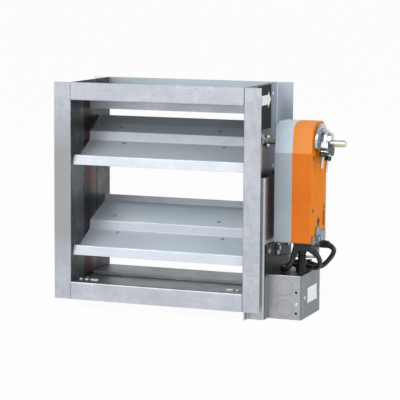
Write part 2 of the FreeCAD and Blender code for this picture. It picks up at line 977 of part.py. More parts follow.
def crank(z0):
    """Arm with a hub on the axle, and the riveted pin that carries the tie bar."""
    x = bearing_face + crank_stand_off
    hub = shaft_radius + crank_hub_wall
    y1, z1 = crank_pin_at(z0)
    arm = link_plate(axle_y, z0, hub, y1, z1, crank_eye, x, crank_thickness)
    arm = arm.fuse(rod_x(hub, x, x + crank_hub_length, axle_y, z0))
    arm = arm.cut(rod_x(shaft_radius + fixed_gap, x - cut_past, x + crank_hub_length + cut_past, axle_y, z0))
    pin_radius = pin_diameter / 2
    hole = rod_x(pin_radius + fixed_gap, x - cut_past, x + crank_thickness + cut_past, y1, z1)
    arm = arm.cut(hole).removeSplitter()
    screw_piece = crank_screw(x + crank_hub_length * crank_screw_share, z0)
    arm = arm.cut(screw_piece)
    end = x + crank_thickness + side_gap + bar_thickness + side_gap
    pin = rod_x(pin_radius, x, end, y1, z1)
    pin = pin.fuse(rod_x(pin_head / 2, end, end + pin_head_thickness, y1, z1)).removeSplitter()
    return group([arm, screw_piece, pin])


def tie_bar():
    x0 = bearing_face + crank_stand_off + crank_thickness + side_gap
    x1 = x0 + bar_thickness
    y1, z1 = crank_pin_at(upper_axle_z)
    y0, z0 = crank_pin_at(lower_axle_z)
    bar = box(x0, x1, y1 - bar_half_width, y1 + bar_half_width, z0, z1)
    for y, z in ((y1, z1), (y0, z0)):
        bar = bar.fuse(rod_x(bar_eye, x0, x1, y, z))
    bar = bar.cut(rod_x(pin_diameter / 2 + running_gap, x0 - cut_past, x1 + cut_past, y1, z1))
    return bar.cut(rod_x(pin_diameter / 2 + open_pivot_gap, x0 - cut_past, x1 + cut_past, y0, z0)).removeSplitter()


# Label and screws

def airflow_label():
    return box(web_face, web_face + label_thickness, label_front, label_rear, label_low, label_high)


def screw(point, direction, length):
    """Hex washer-head screw: the head stands on the point, the shank goes in."""
    head = hex_prism(screw_head, point, direction, screw_head_height)
    flange = rod(screw_flange / 2, point, direction, screw_flange_height)
    shank = rod(screw_shank / 2, point, -V(direction), length)
    return head.fuse(flange).fuse(shank).removeSplitter()


def pan_screw(point, direction, length):
    """Pan-head screw with a slot across its head."""
    head = pan_head / 2
    high = pan_head_height
    profile = [(0, high), (head * 0.6, high), (head * 0.95, high * 0.55), (head, 0),
               (screw_shank / 2, 0), (screw_shank / 2, -length), (0, -length)]
    body = revolve_about(profile, point, direction)
    floor = point + V(direction) * (high - pan_slot_depth)
    top = point + V(direction) * (high + cut_past)
    half = pan_slot_width / 2
    if abs(direction.x) > 0.5:
        slot = box(floor.x, top.x, floor.y - head, floor.y + head, floor.z - half, floor.z + half)
    else:
        slot = box(floor.x - head, floor.x + head, top.y, floor.y, floor.z - half, floor.z + half)
    return body.cut(slot)


def cut_screws(shape, spots):
    for point, direction, length in spots:
        start = point + V(direction) * cut_past
        shape = shape.cut(rod(screw_shank / 2 + fixed_gap, start, -V(direction), length + 1.5 * cut_past))
    return shape


def bracket_screw_spots():
    """Screws through the bracket's two feet into the web."""
    spots = []
    length = bracket_sheet + frame_sheet + web_screw_tip
    front = (bracket_front + bracket_front_foot) / 2
    rear = (bracket_rear + bracket_rear_foot) / 2
    low = -outer_z + bracket_low_screw_rise
    for z in (low, (bracket_top - outer_z) / 2, bracket_top - bracket_high_screw_drop):
        for y in (front, rear):
            spots.append((V(web_face + bracket_sheet, y, z), X_AXIS, length))
    return spots


def plate_screw_spots():
    """Screws through the box plate into the bracket, above the junction box."""
    length = 2 * bracket_sheet + plate_screw_tip
    z = box_plate_top - plate_screw_drop
    return [(V(plate_face, y, z), X_AXIS, length) for y in (box_front, bracket_rear - plate_screw_margin)]


def strap_foot_spots():
    """Screw through the strap's foot, the box plate and the bracket."""
    x = plate_face + strap_sheet
    length = strap_sheet + 2 * bracket_sheet + strap_screw_tip
    return [(V(x, strap_middle, strap_floor + strap_foot_screw_rise), X_AXIS, length)]


def strap_face_spots():
    """The two bright screws that hold the strap to the actuator's outer face."""
    length = strap_sheet + actuator_wall + strap_screw_tip
    z = actuator_bottom + strap_screw_rise
    sides = (-strap_screw_side, strap_screw_side)
    return [(V(face_x + strap_sheet, strap_middle + side, z), X_AXIS, length) for side in sides]


def box_back_spots():
    """Screws through the junction box's back into the plate and the bracket."""
    x = plate_face + box_sheet
    length = box_sheet + 2 * bracket_sheet + strap_screw_tip
    z = box_top - box_height / 2
    return [(V(x, y, z), X_AXIS, length) for y in (box_front + back_screw_margin, box_rear - back_screw_margin)]


def sheet_screws():
    spots = bracket_screw_spots() + plate_screw_spots() + strap_foot_spots()
    spots += strap_face_spots() + box_back_spots()
    return group(screw(*spot) for spot in spots)


# Bracket and junction box

def actuator_bracket():
    """Hat section: two feet on the web, two walls and the outer plate, square to the web."""
    inner = bracket_plate - bracket_sheet
    y0 = bracket_front + bracket_sheet
    y1 = bracket_rear - bracket_sheet
    points = [(web_face, bracket_rear_foot), (web_face, y1), (inner, y1), (inner, y0), (web_face, y0),
              (web_face, bracket_front_foot)]
    height = bracket_top - bracket_bottom
    hat = bent_sheet(points, bracket_sheet, bracket_bend, lambda x, y: V(x, y, bracket_bottom), V(0, 0, height))
    spots = bracket_screw_spots() + plate_screw_spots() + strap_foot_spots() + box_back_spots()
    return cut_screws(hat, spots)


def junction_box_plate():
    """Flat plate on the bracket that carries the junction box and the strap's foot."""
    y0 = bracket_front + bracket_sheet
    plate = box(bracket_plate, plate_face, y0, bracket_rear - bracket_sheet, box_bottom, box_plate_top)
    return cut_screws(plate, plate_screw_spots() + strap_foot_spots() + box_back_spots())


def knockout_spots():
    return [(plate_face + knockout_from_plate, z) for z in knockout_heights]


def lead_entry_spots():
    """Holes in the junction box's top: x, y of the three elbows and of the ribbed sleeve."""
    return list(elbow_places) + [(sleeve_x, sleeve_side)]


def front_hole(radius, x, z):
    """Tool for a round hole through the junction box's front wall."""
    return rod(radius, V(x, box_front - cut_past, z), Y_AXIS, box_sheet + 2 * cut_past)


def cover_tabs():
    """Two small tabs inside the box that take the cover's screws."""
    z0 = cover_screw_z - cover_tab_half
    z1 = cover_screw_z + cover_tab_half
    front = box(box_rim - box_sheet, box_rim, box_front + box_sheet, box_front + cover_tab_front, z0, z1)
    rear = box(box_rim - box_sheet, box_rim, box_rear - cover_tab_rear, box_rear - box_sheet, z0, z1)
    return [front, rear]


def junction_box():
    """Folded steel box, open towards +X, with knockouts and lead holes."""
    outer = box(plate_face, box_rim, box_front, box_rear, box_bottom, box_top)
    edges = [e for e in outer.Edges if abs(e.tangentAt(e.FirstParameter).x) > 0.99]
    outer = outer.makeFillet(box_corner, edges)
    inner = box(plate_face + box_sheet, box_rim + cut_past, box_front + box_sheet, box_rear - box_sheet,
                box_bottom + box_sheet, box_top - box_sheet)
    shell = outer.cut(inner)
    for x, z in knockout_spots():
        shell = shell.cut(front_hole(knockout_diameter / 2, x, z))
    for z in box_hole_heights:
        shell = shell.cut(front_hole(box_hole_diameter / 2, box_hole_x, z))
    for x, y in lead_entry_spots():
        start = V(x, y, box_top - box_sheet - cut_past)
        shell = shell.cut(rod(nipple_diameter / 2 + seat_gap, start, Z_AXIS, box_sheet + 2 * cut_past))
    for tab in cover_tabs():
        shell = shell.fuse(tab)
    shell = cut_screws(shell.removeSplitter(), box_back_spots() + ground_spots())
    return cut_screws(shell, cover_screw_spots())


def cover_screw_spots():
    sides = (box_front + cover_screw_front, box_rear - cover_screw_rear)
    return [(V(box_cover_face, y, cover_screw_z), X_AXIS, cover_screw_length) for y in sides]


def box_cover():
    m = cover_margin
    plate = box(box_rim, box_cover_face, box_front + m, box_rear - m, box_bottom + m, box_top - m)
    return cut_screws(plate, cover_screw_spots())


def box_cover_screws():
    return group(pan_screw(*spot) for spot in cover_screw_spots())


def ground_spots():
    return [(V(box_hole_x, box_front, ground_screw_height), -Y_AXIS, cover_screw_length)]


def box_ground_screw():
    return group(pan_screw(*spot) for spot in ground_spots())


def knockouts():
    """Blanks still in their holes, set a hair inside the wall."""
    r = knockout_diameter / 2 - knockout_gap
    return group(rod(r, V(x, box_front, z), Y_AXIS, box_sheet) for x, z in knockout_spots())


# Actuator shells

def actuator_outline(x, inset):
    """Outline of the housing in Y and Z, moved inwards by the inset."""
    half = actuator_half_width - inset
    top_half = actuator_top_half - inset
    top = upper_axle_z + actuator_rise - inset
    shoulder = upper_axle_z + actuator_shoulder
    neck = upper_axle_z + actuator_shoulder_top - inset * neck_inset_share
    bottom = actuator_bottom + inset
    crown = top_half - actuator_crown + inset * crown_inset_share
    corners = [(-half, bottom, actuator_foot_corner), (half, bottom, actuator_foot_corner),
               (half, shoulder, actuator_shoulder_corner), (top_half, neck, actuator_neck_corner),
               (crown, top, actuator_top_corner), (-crown, top, actuator_top_corner),
               (-top_half, neck, actuator_neck_corner), (-half, shoulder, actuator_shoulder_corner)]
    return rounded_loop(corners, lambda y, z: V(x, axle_y + y, z))


def actuator_screw_spots():
    """Screws at the corners of the cover, driven from its outer face."""
    spots = []
    for y in (axle_y - housing_screw_side, axle_y + housing_screw_side):
        for z in (upper_axle_z - housing_screw_high, upper_axle_z - housing_screw_low):
            spots.append((V(face_x, y, z), X_AXIS, cover_depth + housing_screw_bite))
    return spots


def bosses(x0, x1):
    return [rod_x(boss_diameter / 2, x0, x1, p.y, p.z) for p, _, _ in actuator_screw_spots()]


def actuator_base():
    """Grey half of the housing, with the wall towards the bracket."""
    shell = prism(actuator_outline(base_x, 0), V(base_depth, 0, 0))
    shell = shell.cut(prism(actuator_outline(floor_x, actuator_wall), V(base_depth, 0, 0)))
    for boss in bosses(base_x + boss_end_gap, split_x):
        shell = shell.fuse(boss)
    hub_hole = rod_x(hub_radius + free_gap, base_x - cut_past, base_x + cut_reach, axle_y, upper_axle_z)
    return cut_screws(shell.cut(hub_hole), actuator_screw_spots()).removeSplitter()


def slot_loop(x, low, high, width):
    """Round-ended slot outline on the outer face."""
    y = axle_y + slot_side
    h = width / 2
    r = h * slot_round_share
    corners = [(y - h, low, r), (y + h, low, r), (y + h, high, r), (y - h, high, r)]
    return rounded_loop(corners, lambda a, b: V(x, a, b))


def actuator_cover():
    """Orange half of the housing, with the outer face, its slot and its socket hole."""
    shell = prism(actuator_outline(split_x, 0), V(cover_depth, 0, 0))
    rim = [e for e in shell.Edges if e.BoundBox.XMin > face_x - 0.01]
    shell = shell.makeFillet(cover_edge, rim)
    room = cover_depth - actuator_wall + cut_past
    shell = shell.cut(prism(actuator_outline(split_x - cut_past, actuator_wall), V(room, 0, 0)))
    for boss in bosses(split_x, face_x - boss_end_gap):
        shell = shell.fuse(boss)
    x0 = face_x - cut_reach
    x1 = face_x + cut_past
    shell = shell.cut(rod_x(hub_radius + free_gap, x0, x1, axle_y, upper_axle_z))
    shell = shell.cut(rod_x(socket_diameter / 2 + free_gap, x0, x1, axle_y, motor_z))
    shell = shell.cut(prism(slot_loop(x0, slot_low, slot_high, slot_width), V(2 * cut_reach, 0, 0)))
    shell = cut_screws(shell, strap_face_spots())
    return cut_screws(shell, actuator_screw_spots()).removeSplitter()


def actuator_screws():
    return group(pan_screw(*spot) for spot in actuator_screw_spots())


def lock_slider():
    """Gear-lock slider: knob in the slot, flange behind the cover's wall."""
    y = axle_y + slot_side
    low = slot_low + free_gap
    high = low + slider_length
    back = face_x - actuator_wall - free_gap
    width = slot_width - 2 * free_gap
    knob = prism(slot_loop(back, low, high, width), V(face_x - slider_recess - back, 0, 0))
    middle = (low + high) / 2
    half = slider_grip_width / 2
    grip = box(face_x - slider_grip_depth, face_x, y - slider_grip_half, y + slider_grip_half,
               middle - half, middle + half)
    side = slot_width / 2 + slider_flange_side
    flange = box(back - slider_flange, back, y - side, y + side, low - slider_flange_side, high + slider_flange_side)
    return knob.cut(grip).fuse(flange).removeSplitter()


def strap_flange():
    """Wide flange of the strap on the actuator's outer face, with a taller middle."""
    low = actuator_bottom - strap_flange_drop
    high = actuator_bottom + strap_flange_rise
    rear_step = strap_middle + strap_top_half + strap_step_run
    front_step = strap_middle - strap_top_half - strap_step_run
    corners = [(strap_flange_front, low, strap_low_corner), (strap_flange_rear, low, strap_low_corner),
               (strap_flange_rear, high - strap_rear_step, strap_side_corner),
               (rear_step, high - strap_rear_step, strap_side_corner),
               (strap_middle + strap_top_half, high, strap_top_corner),
               (strap_middle - strap_top_half, high, strap_top_corner),
               (front_step, high - strap_front_step, strap_side_corner),
               (strap_flange_front, high - strap_front_step, strap_side_corner)]
    return prism(rounded_loop(corners, lambda y, z: V(face_x, y, z)), V(strap_sheet, 0, 0))


def anti_rotation_strap():
    """Wide flange on the outer face, tongue down and inwards, foot on the box plate."""
    far = face_x + strap_sheet
    y0 = strap_middle - strap_width / 2
    floor = strap_floor - strap_sheet
    points = [(plate_face, strap_floor + strap_foot_rise), (plate_face, floor), (far, floor),
              (far, actuator_bottom + strap_flange_rise)]
    tongue = bent_sheet(points, strap_sheet, strap_bend, lambda x, z: V(x, y0, z), V(0, strap_width, 0))
    strap = tongue.fuse(strap_flange()).removeSplitter()
    return cut_screws(strap, strap_face_spots() + strap_foot_spots())


# Actuator output and clamp

def clamp_turn(shape):
    """Lean the clamp about the shaft, as it stands in the photograph's rest position."""
    turned = shape.copy()
    turned.rotate(V(0, axle_y, upper_axle_z), X_AXIS, -clamp_tilt)
    return turned


def clamp_point(side, rise, x):
    return V(x, axle_y + side, upper_axle_z + rise)


def dial_disc():
    """Bright disc with a flat along its lower edge, and the smaller toothed ring in front of it."""
    r = disc_diameter / 2
    disc = rod_x(r, disc_x, ring_x, axle_y, upper_axle_z)
    low = clamp_point(-2 * r, -2 * r, disc_x - cut_past)
    disc = disc.cut(Part.makeBox(disc_thickness + 2 * cut_past, 4 * r, 2 * r - disc_flat_drop, low))
    edges = [e for e in disc.Edges if e.BoundBox.XMin > ring_x - 0.01]
    disc = disc.makeFillet(disc_edge, edges)
    ring = rod_x(ring_diameter / 2, ring_x, yoke_x, axle_y, upper_axle_z)
    ring = ring.cut(Part.makeBox(disc_thickness + 2 * cut_past, 4 * r, 2 * r - disc_flat_drop, low + V(cut_reach, 0, 0)))
    return clamp_turn(disc.fuse(ring))


def hub_cam():
    """Cam with a flat that the limit switches watch."""
    cam = rod_x(cam_radius, inner_plate_end + cam_side_room, output_gear_x - gear_end_room, axle_y, upper_axle_z)
    rise = cam_radius * cam_flat_share
    corner = clamp_point(-cam_radius, rise, inner_plate_end)
    return cam.cut(Part.makeBox(switch_room, 2 * cam_radius, cam_radius, corner))


def fixed_yoke():
    """Round-topped block over the shaft that the U-bolt wraps."""
    w = yoke_half_width
    x = yoke_x
    p = [clamp_point(-w, yoke_floor, x), clamp_point(-w, yoke_reach, x), clamp_point(0, yoke_reach + w, x),
         clamp_point(w, yoke_reach, x), clamp_point(w, yoke_floor, x)]
    edges = [Part.LineSegment(p[0], p[1]).toShape(), Part.Arc(p[1], p[2], p[3]).toShape(),
             Part.LineSegment(p[3], p[4]).toShape(), Part.LineSegment(p[4], p[0]).toShape()]
    return clamp_turn(prism(Part.Wire(edges), V(yoke_thickness, 0, 0)))


def output_hub():
    """Hollow hub through the actuator, with the bright disc and the fixed yoke outside."""
    tube = rod_x(hub_radius, hub_start, disc_x, axle_y, upper_axle_z)
    hub = tube.fuse(dial_disc()).fuse(hub_cam()).fuse(fixed_yoke())
    bore = rod_x(shaft_radius + fixed_gap, hub_start - cut_past, clamp_end + cut_past, axle_y, upper_axle_z)
    return hub.cut(bore).removeSplitter()


def clamp_jaw():
    """Moving jaw below the shaft: serrated V on top, two holes for the U-bolt's legs."""
    w = jaw_half_width
    x = yoke_x + free_gap
    top = jaw_top
    tip = -shaft_radius * math.sqrt(2) + fixed_gap
    half = top - tip
    corner = jaw_bottom + jaw_corner_rise
    points = [(-w, corner), (-w, top), (-half, top), (0, tip), (half, top), (w, top), (w, corner),
              (w - jaw_corner_run, jaw_bottom), (-w + jaw_corner_run, jaw_bottom)]
    ring = [clamp_point(a, b, x) for a, b in points]
    ring.append(ring[0])
    jaw = Part.Face(Part.makePolygon(ring)).extrude(V(clamp_end - x, 0, 0))
    jaw = jaw.cut(rod_x(shaft_radius + fixed_gap, x - cut_past, clamp_end + cut_past, axle_y, upper_axle_z))
    for side in (-1, 1):
        start = clamp_point(side * u_bolt_half_width, jaw_bottom - cut_past, u_bolt_x)
        jaw = jaw.cut(rod(u_bolt_wire / 2 + seat_gap, start, Z_AXIS, 2 * jaw_half_width))
        for k in range(jaw_groove_count):
            corner = clamp_point(side * half - jaw_groove_half, top - jaw_groove_depth,
                                 x + jaw_groove_start + k * jaw_groove_pitch)
            jaw = jaw.cut(Part.makeBox(jaw_groove_width, 2 * jaw_groove_half, 2 * jaw_groove_depth, corner))
    return clamp_turn(jaw)


def clamp_u_bolt():
    """Round wire over the yoke with two straight legs pointing down."""
    x = u_bolt_x
    w = u_bolt_half_width
    low = [clamp_point(-w, -u_bolt_leg, x), clamp_point(w, -u_bolt_leg, x)]
    high = [clamp_point(-w, yoke_reach, x), clamp_point(w, yoke_reach, x)]
    crown = clamp_point(0, yoke_reach + w, x)
    path = Part.Wire([Part.LineSegment(low[0], high[0]).toShape(), Part.Arc(high[0], crown, high[1]).toShape(),
                      Part.LineSegment(high[1], low[1]).toShape()])
    circle = Part.Wire(Part.makeCircle(u_bolt_wire / 2, low[0], Z_AXIS))
    return clamp_turn(path.makePipeShell([circle], True, True))


def clamp_nuts():
    """Washer and hex nut on each leg, tight under the jaw."""
    parts = []
    for side in (-1, 1):
        start = clamp_point(side * u_bolt_half_width, jaw_bottom, u_bolt_x)
        nut_start = start - V(0, 0, washer_thickness)
        hole = rod(u_bolt_wire / 2 + fixed_gap, start + V(0, 0, cut_past), -Z_AXIS, u_bolt_leg)
        washer = rod(washer_diameter / 2, start, -Z_AXIS, washer_thickness).cut(hole)
        nut = hex_prism(nut_across, nut_start, -Z_AXIS, nut_thickness).cut(hole)
        parts += [clamp_turn(washer), clamp_turn(nut)]
    return group(parts)


# Gear train

def gear(teeth, x0, width, z0, phase, bore):
    """Spur gear about an X axis: flanks through three points of the involute, open by the backlash."""
    pitch_radius = gear_module * teeth / 2
    pressure = math.radians(pressure_angle)
    base = pitch_radius * math.cos(pressure)
    tip = pitch_radius + tooth_top * gear_module
    root = pitch_radius - tooth_root * gear_module
    half = math.pi / (2 * teeth) - gear_backlash / (2 * pitch_radius)

    def half_angle(radius):
        if radius <= base:
            return half + math.tan(pressure) - pressure
        a = math.acos(base / radius)
        return half + (math.tan(pressure) - pressure) - (math.tan(a) - a)

    ring = []
    levels = [root, max(base, root + flank_start), pitch_radius, tip]
    for k in range(teeth):
        middle = math.radians(phase) + 2 * math.pi * k / teeth
        for radius in levels:
            angle = middle - half_angle(radius)
            ring.append(V(x0, axle_y + radius * math.cos(angle), z0 + radius * math.sin(angle)))
        for radius in levels[::-1]:
            angle = middle + half_angle(radius)
            ring.append(V(x0, axle_y + radius * math.cos(angle), z0 + radius * math.sin(angle)))
    ring.append(ring[0])
    body = Part.Face(Part.makePolygon(ring)).extrude(V(width, 0, 0))
    return body.cut(rod_x(bore, x0 - cut_past, x0 + width + cut_past, axle_y, z0))


tooth_down = -90.0


def gap_up(teeth):
    """Turn that puts a gap of the gear straight above its axis."""
    return 90.0 + 180.0 / teeth


def output_gear():
    return gear(output_teeth, output_gear_x, gear_face, upper_axle_z, tooth_down, hub_radius + fixed_gap)


def reduction_gear(pinion_teeth, wheel_teeth, pinion_x, wheel_x, z0):
    """Pinion and wheel cut from one blank, free on its arbor."""
    bore = arbor_diameter / 2 + running_gap
    pinion = gear(pinion_teeth, pinion_x, wheel_x - pinion_x, z0, gap_up(pinion_teeth), bore)
    wheel = gear(wheel_teeth, wheel_x, gear_face - gear_side_room, z0, tooth_down, bore)
    return pinion.fuse(wheel).removeSplitter()


def first_reduction_gear():
    start = output_gear_x - gear_end_room
    return reduction_gear(first_pinion_teeth, first_wheel_teeth, start, first_wheel_x, first_z)


def second_reduction_gear():
    start = first_wheel_x - gear_end_room
    return reduction_gear(second_pinion_teeth, second_wheel_teeth, start, second_wheel_x, second_z)


def motor_rotor():
    """Motor shaft with its pinion at one end and the override socket at the other."""
    r = rotor_diameter / 2
    low = second_wheel_x - gear_end_room
    pinion = gear(motor_pinion_teeth, low, gear_face - free_gap, motor_z, gap_up(motor_pinion_teeth), r / 2)
    start = motor_case_x + motor_length + motor_boss_height + side_gap
    shaft = rod_x(r, low, start, axle_y, motor_z)
    socket = rod_x(socket_diameter / 2, start, face_x - free_gap, axle_y, motor_z)
    key = hex_prism(socket_across, V(start + socket_floor, axle_y, motor_z), X_AXIS, socket_depth)
    return pinion.fuse(shaft).fuse(socket).cut(key).removeSplitter()


def motor_case():
    """Round can with end bosses; the rotor's shaft runs through it."""
    r = motor_diameter / 2
    bore = rotor_diameter / 2 + free_gap
    end = motor_length + motor_boss_height
    profile = [(bore, 0), (r - motor_front_edge, 0), (r, motor_front_edge), (r, motor_length - motor_rear_edge),
               (r - motor_rear_edge, motor_length), (motor_boss_radius, motor_length), (motor_boss_radius, end),
               (bore, end)]
    return revolve_about(profile, V(motor_case_x, axle_y, motor_z), X_AXIS)


def plate_outline(x, low):
    h = gear_plate_half_width
    high = upper_axle_z + gear_plate_rise
    side = upper_axle_z - gear_plate_shoulder
    neck = h - gear_plate_neck
    corners = [(-h, low, gear_plate_foot_corner), (h, low, gear_plate_foot_corner), (h, side, gear_plate_side_corner),
               (neck, high, gear_plate_top_corner), (-neck, high, gear_plate_top_corner),
               (-h, side, gear_plate_side_corner)]
    return rounded_loop(corners, lambda y, z: V(x, axle_y + y, z))


def post_places(z):
    out = gear_plate_half_width - post_inset
    return [(axle_y - out, z), (axle_y + out, z)]


def plate_holes():
    """Tools for the holes through both gear plates."""
    x0 = inner_plate_x - cut_past
    x1 = motor_case_x + cut_past
    holes = [rod_x(hub_radius + free_gap, x0, x1, axle_y, upper_axle_z),
             rod_x(rotor_diameter / 2 + free_gap, x0, x1, axle_y, motor_z)]
    for z in (first_z, second_z):
        holes.append(rod_x(arbor_diameter / 2 + fixed_gap, x0, x1, axle_y, z))
    for p, _, _ in actuator_screw_spots():
        holes.append(rod_x(boss_diameter / 2 + free_gap, x0, x1, p.y, p.z))
    return holes


def gear_plates():
    """Two plates and four shouldered posts that hold the gear train in the housing."""
    parts = []
    for x, low in ((inner_plate_x, second_z - inner_plate_drop), (outer_plate_x, motor_z - outer_plate_drop)):
        plate = prism(plate_outline(x, low), V(gear_plate_thickness, 0, 0))
        for hole in plate_holes():
            plate = plate.cut(hole)
        parts.append(plate)
    for y, z in post_places((first_z + second_z) / 2):
        parts.append(rod_x(post_diameter / 2, floor_x, inner_plate_x, y, z))
        parts.append(rod_x(post_diameter / 2, inner_plate_end, outer_plate_x, y, z))
    for y, z in post_places(motor_z - motor_post_drop):
        parts.append(rod_x(post_diameter / 2, floor_x, outer_plate_x, y, z))
    return group(parts)


def gear_arbors():
    return group(rod_x(arbor_diameter / 2, inner_plate_x, motor_case_x, axle_y, z) for z in (first_z, second_z))


def spring_barrel():
    """Cup on the outer gear plate that holds the return spring."""
    x0 = motor_case_x
    x1 = x0 + barrel_length
    r = barrel_diameter / 2
    cup = rod_x(r, x0, x1, axle_y, upper_axle_z)
    cup = cup.cut(rod_x(r - barrel_wall, x0 - cut_past, x1 - barrel_wall, axle_y, upper_axle_z))
    return cup.cut(rod_x(hub_radius + 2 * free_gap, x0, x1 + cut_past, axle_y, upper_axle_z))


def return_spring():
    """Spiral strip: half turns about two centres half a pitch apart."""
    x0 = motor_case_x + spring_end_room
    near = []
    far = []
    for k in range(2 * spring_turns):
        centre = 0.0 if k % 2 == 0 else spring_pitch / 2
        radius = spring_inner + k * spring_pitch / 2
        way = 1 if k % 2 == 0 else -1
        for store, r in ((near, radius), (far, radius + spring_strip)):
            store.append([(centre + way * r, 0.0), (centre, way * r), (centre - way * r, 0.0)])
    back = [piece[::-1] for piece in far[::-1]]
    loop = near + back + [near[0][:1]]
    wire = Part.Wire(edges_through(loop, lambda y, z: V(x0, axle_y + y, upper_axle_z + z)))
    return prism(wire, V(barrel_length - barrel_wall - 2 * spring_end_room, 0, 0))


def limit_switches():
    """Two small switches beside the hub's cam, with their levers toward it."""
    x0 = inner_plate_end
    x1 = output_gear_x - gear_end_room
    z = upper_axle_z
    parts = []
    for side in (-1, 1):
        near = axle_y + side * (cam_radius + switch_stand_off)
        far = near + side * switch_length
        body = box(x0, x1, min(near, far), max(near, far), z - switch_height / 2, z + switch_height / 2)
        tip = axle_y + side * (cam_radius + free_gap)
        lever = box(x0 + lever_inset, x1 - lever_inset, min(tip, near), max(tip, near), z - lever_half, z + lever_half)
        parts.append(body.fuse(lever).removeSplitter())
    return group(parts)


def circuit_board():
    """Board on four short posts, with a capacitor, a relay and a terminal block."""
    x0 = floor_x + board_stand_off
    x1 = x0 + board_thickness
    y0 = axle_y - board_half_width
    y1 = axle_y + board_half_width
    z0 = actuator_bottom + board_rise
    z1 = z0 + board_height
    parts = [box(x0, x1, y0, y1, z0, z1)]
    for y in (y0 + board_post_side, y1 - board_post_side):
        for z in (z0 + board_post_margin, z1 - board_post_margin):
            parts.append(rod_x(board_post_radius, floor_x, x0, y, z))
    parts.append(rod_x(capacitor_radius, x1, x1 + capacitor_height, axle_y + capacitor_side, z0 + capacitor_rise))
    for high, sides, rises in ((relay_height, relay_sides, relay_rises),
                               (terminal_height, terminal_sides, terminal_rises)):
        parts.append(box(x1, x1 + high, axle_y + sides[0], axle_y + sides[1], z0 + rises[0], z0 + rises[1]))
    return group(parts)


# Thermal cut-out

def thermal_cutout():
    """Bimetal disc switch on the web, its face level with the airway side."""
    y, z = cutout_side, cutout_height
    flange_end = web_face + cutout_flange_thickness
    end = web_face + cutout_depth
    shape = rod_x(cutout_boss / 2, web_x, web_face, y, z)
    shape = shape.fuse(rod_x(cutout_diameter / 2 + cutout_flange, web_face, flange_end, y, z))
    shape = shape.fuse(rod_x(cutout_diameter / 2, flange_end, end, y, z))
    half = cutout_tab_sheet / 2
    for s in (y - cutout_tab_side, y + cutout_tab_side):
        shape = shape.fuse(box(end, end + cutout_tab_length, s - half, s + half, z - cutout_tab_half, z + cutout_tab_half))
    return shape.removeSplitter()


# Leads, boots, sleeve and elbows

def tube_path(route):
    """Straight runs joined by tangent arcs, each as large as its two runs allow."""
    points = [V(*p) for p in route]
    edges = []
    here = points[0]
    for i in range(1, len(points) - 1):
        before = points[i] - points[i - 1]
        after = points[i + 1] - points[i]
        turn = before.getAngle(after)
        run = route_round_share * min(before.Length, after.Length)
        radius = run / math.tan(turn / 2)
        start = points[i] - V(before).normalize() * run
        end = points[i] + V(after).normalize() * run
        bisector = (V(after).normalize() - V(before).normalize()).normalize()
        centre = points[i] + bisector * (radius / math.cos(turn / 2))
        middle = centre - bisector * radius
        edges.append(Part.LineSegment(here, start).toShape())
        edges.append(Part.Arc(start, middle, end).toShape())
        here = end
    edges.append(Part.LineSegment(here, points[-1]).toShape())
    return Part.Wire(edges)


def lead(route, name):
    """Round lead along the route; its length and filled share are printed for the record."""
    path = tube_path(route)
    start = V(*route[0])
    direction = V(*route[1]) - start
    circle = Part.Wire(Part.makeCircle(lead_diameter / 2, start, direction))
    tube = path.makePipeShell([circle], True, True)
    section = math.pi * (lead_diameter / 2) ** 2
    tightest = min(e.Curve.Radius for e in path.Edges if hasattr(e.Curve, "Radius"))
    print(name, "length", round(path.Length, 1), "tightest bend", round(tightest, 1),
          "volume share", round(tube.Volume / section / path.Length, 4))
    return tube


def elbow(place, side):
    """Angle connector: level mouth with its gland nut, body, nipple and locknut inside the box."""
    x, y = place
    r = elbow_diameter / 2
    axis_z = box_top + elbow_axis_rise
    mouth = x + side * (r + elbow_mouth_reach)
    upright = rod(r, V(x, y, box_top), Z_AXIS, elbow_axis_rise)
    crown = Part.makeSphere(r, V(x, y, axis_z))
    level = rod(r, V(x, y, axis_z), V(side, 0, 0), r + elbow_nut_seat)
    nut = hex_prism(gland_across, V(mouth - side * gland_length, y, axis_z), V(side, 0, 0), gland_length)
    body = upright.fuse(crown).fuse(level).fuse(nut)
    nipple = rod(nipple_diameter / 2, V(x, y, box_top), -Z_AXIS, box_sheet + locknut_thickness + nipple_tip)
    body = body.fuse(nipple).removeSplitter()
    ring = rod(locknut_diameter / 2, V(x, y, box_top - box_sheet), -Z_AXIS, locknut_thickness)
    ring = ring.cut(rod(nipple_diameter / 2 + fixed_gap, V(x, y, box_top), -Z_AXIS, box_height))
    return [body, ring]


def lead_connectors():
    return group(elbow(elbow_places[0], -1) + elbow(elbow_places[1], 1) + elbow(elbow_places[2], 1))


def ribbed_sleeve():
    """Soft sleeve from the front boot straight down into the box, ribbed at its lower end."""
    r = sleeve_diameter / 2
    neck = r - sleeve_rib_depth
    end = box_top - boot_bottom
    pitch = (end + sleeve_plain) / sleeve_ribs
    profile = [(0, 0), (r, 0), (r, -sleeve_plain)]
    for k in range(sleeve_ribs):
        z = -sleeve_plain + k * pitch
        profile += [(neck, z + 0.3 * pitch), (neck, z + 0.6 * pitch), (r, z + 0.75 * pitch), (r, z + pitch)]
    profile[-1] = (r, end)
    nipple = nipple_diameter / 2
    tail = end - box_sheet - sleeve_tail
    profile += [(nipple, end), (nipple, tail), (0, tail)]
    return revolve_about(profile, V(sleeve_x, sleeve_side, boot_bottom), Z_AXIS)


def boot(x0, x1, y0, y1):
    """Moulded block under the housing with softened edges."""
    block = box(x0, x1, y0, y1, boot_bottom, actuator_bottom)
    edges = [e for e in block.Edges if e.BoundBox.ZMax < actuator_bottom - boot_edge or e.BoundBox.ZLength > boot_edge]
    return block.makeFillet(boot_edge, edges)


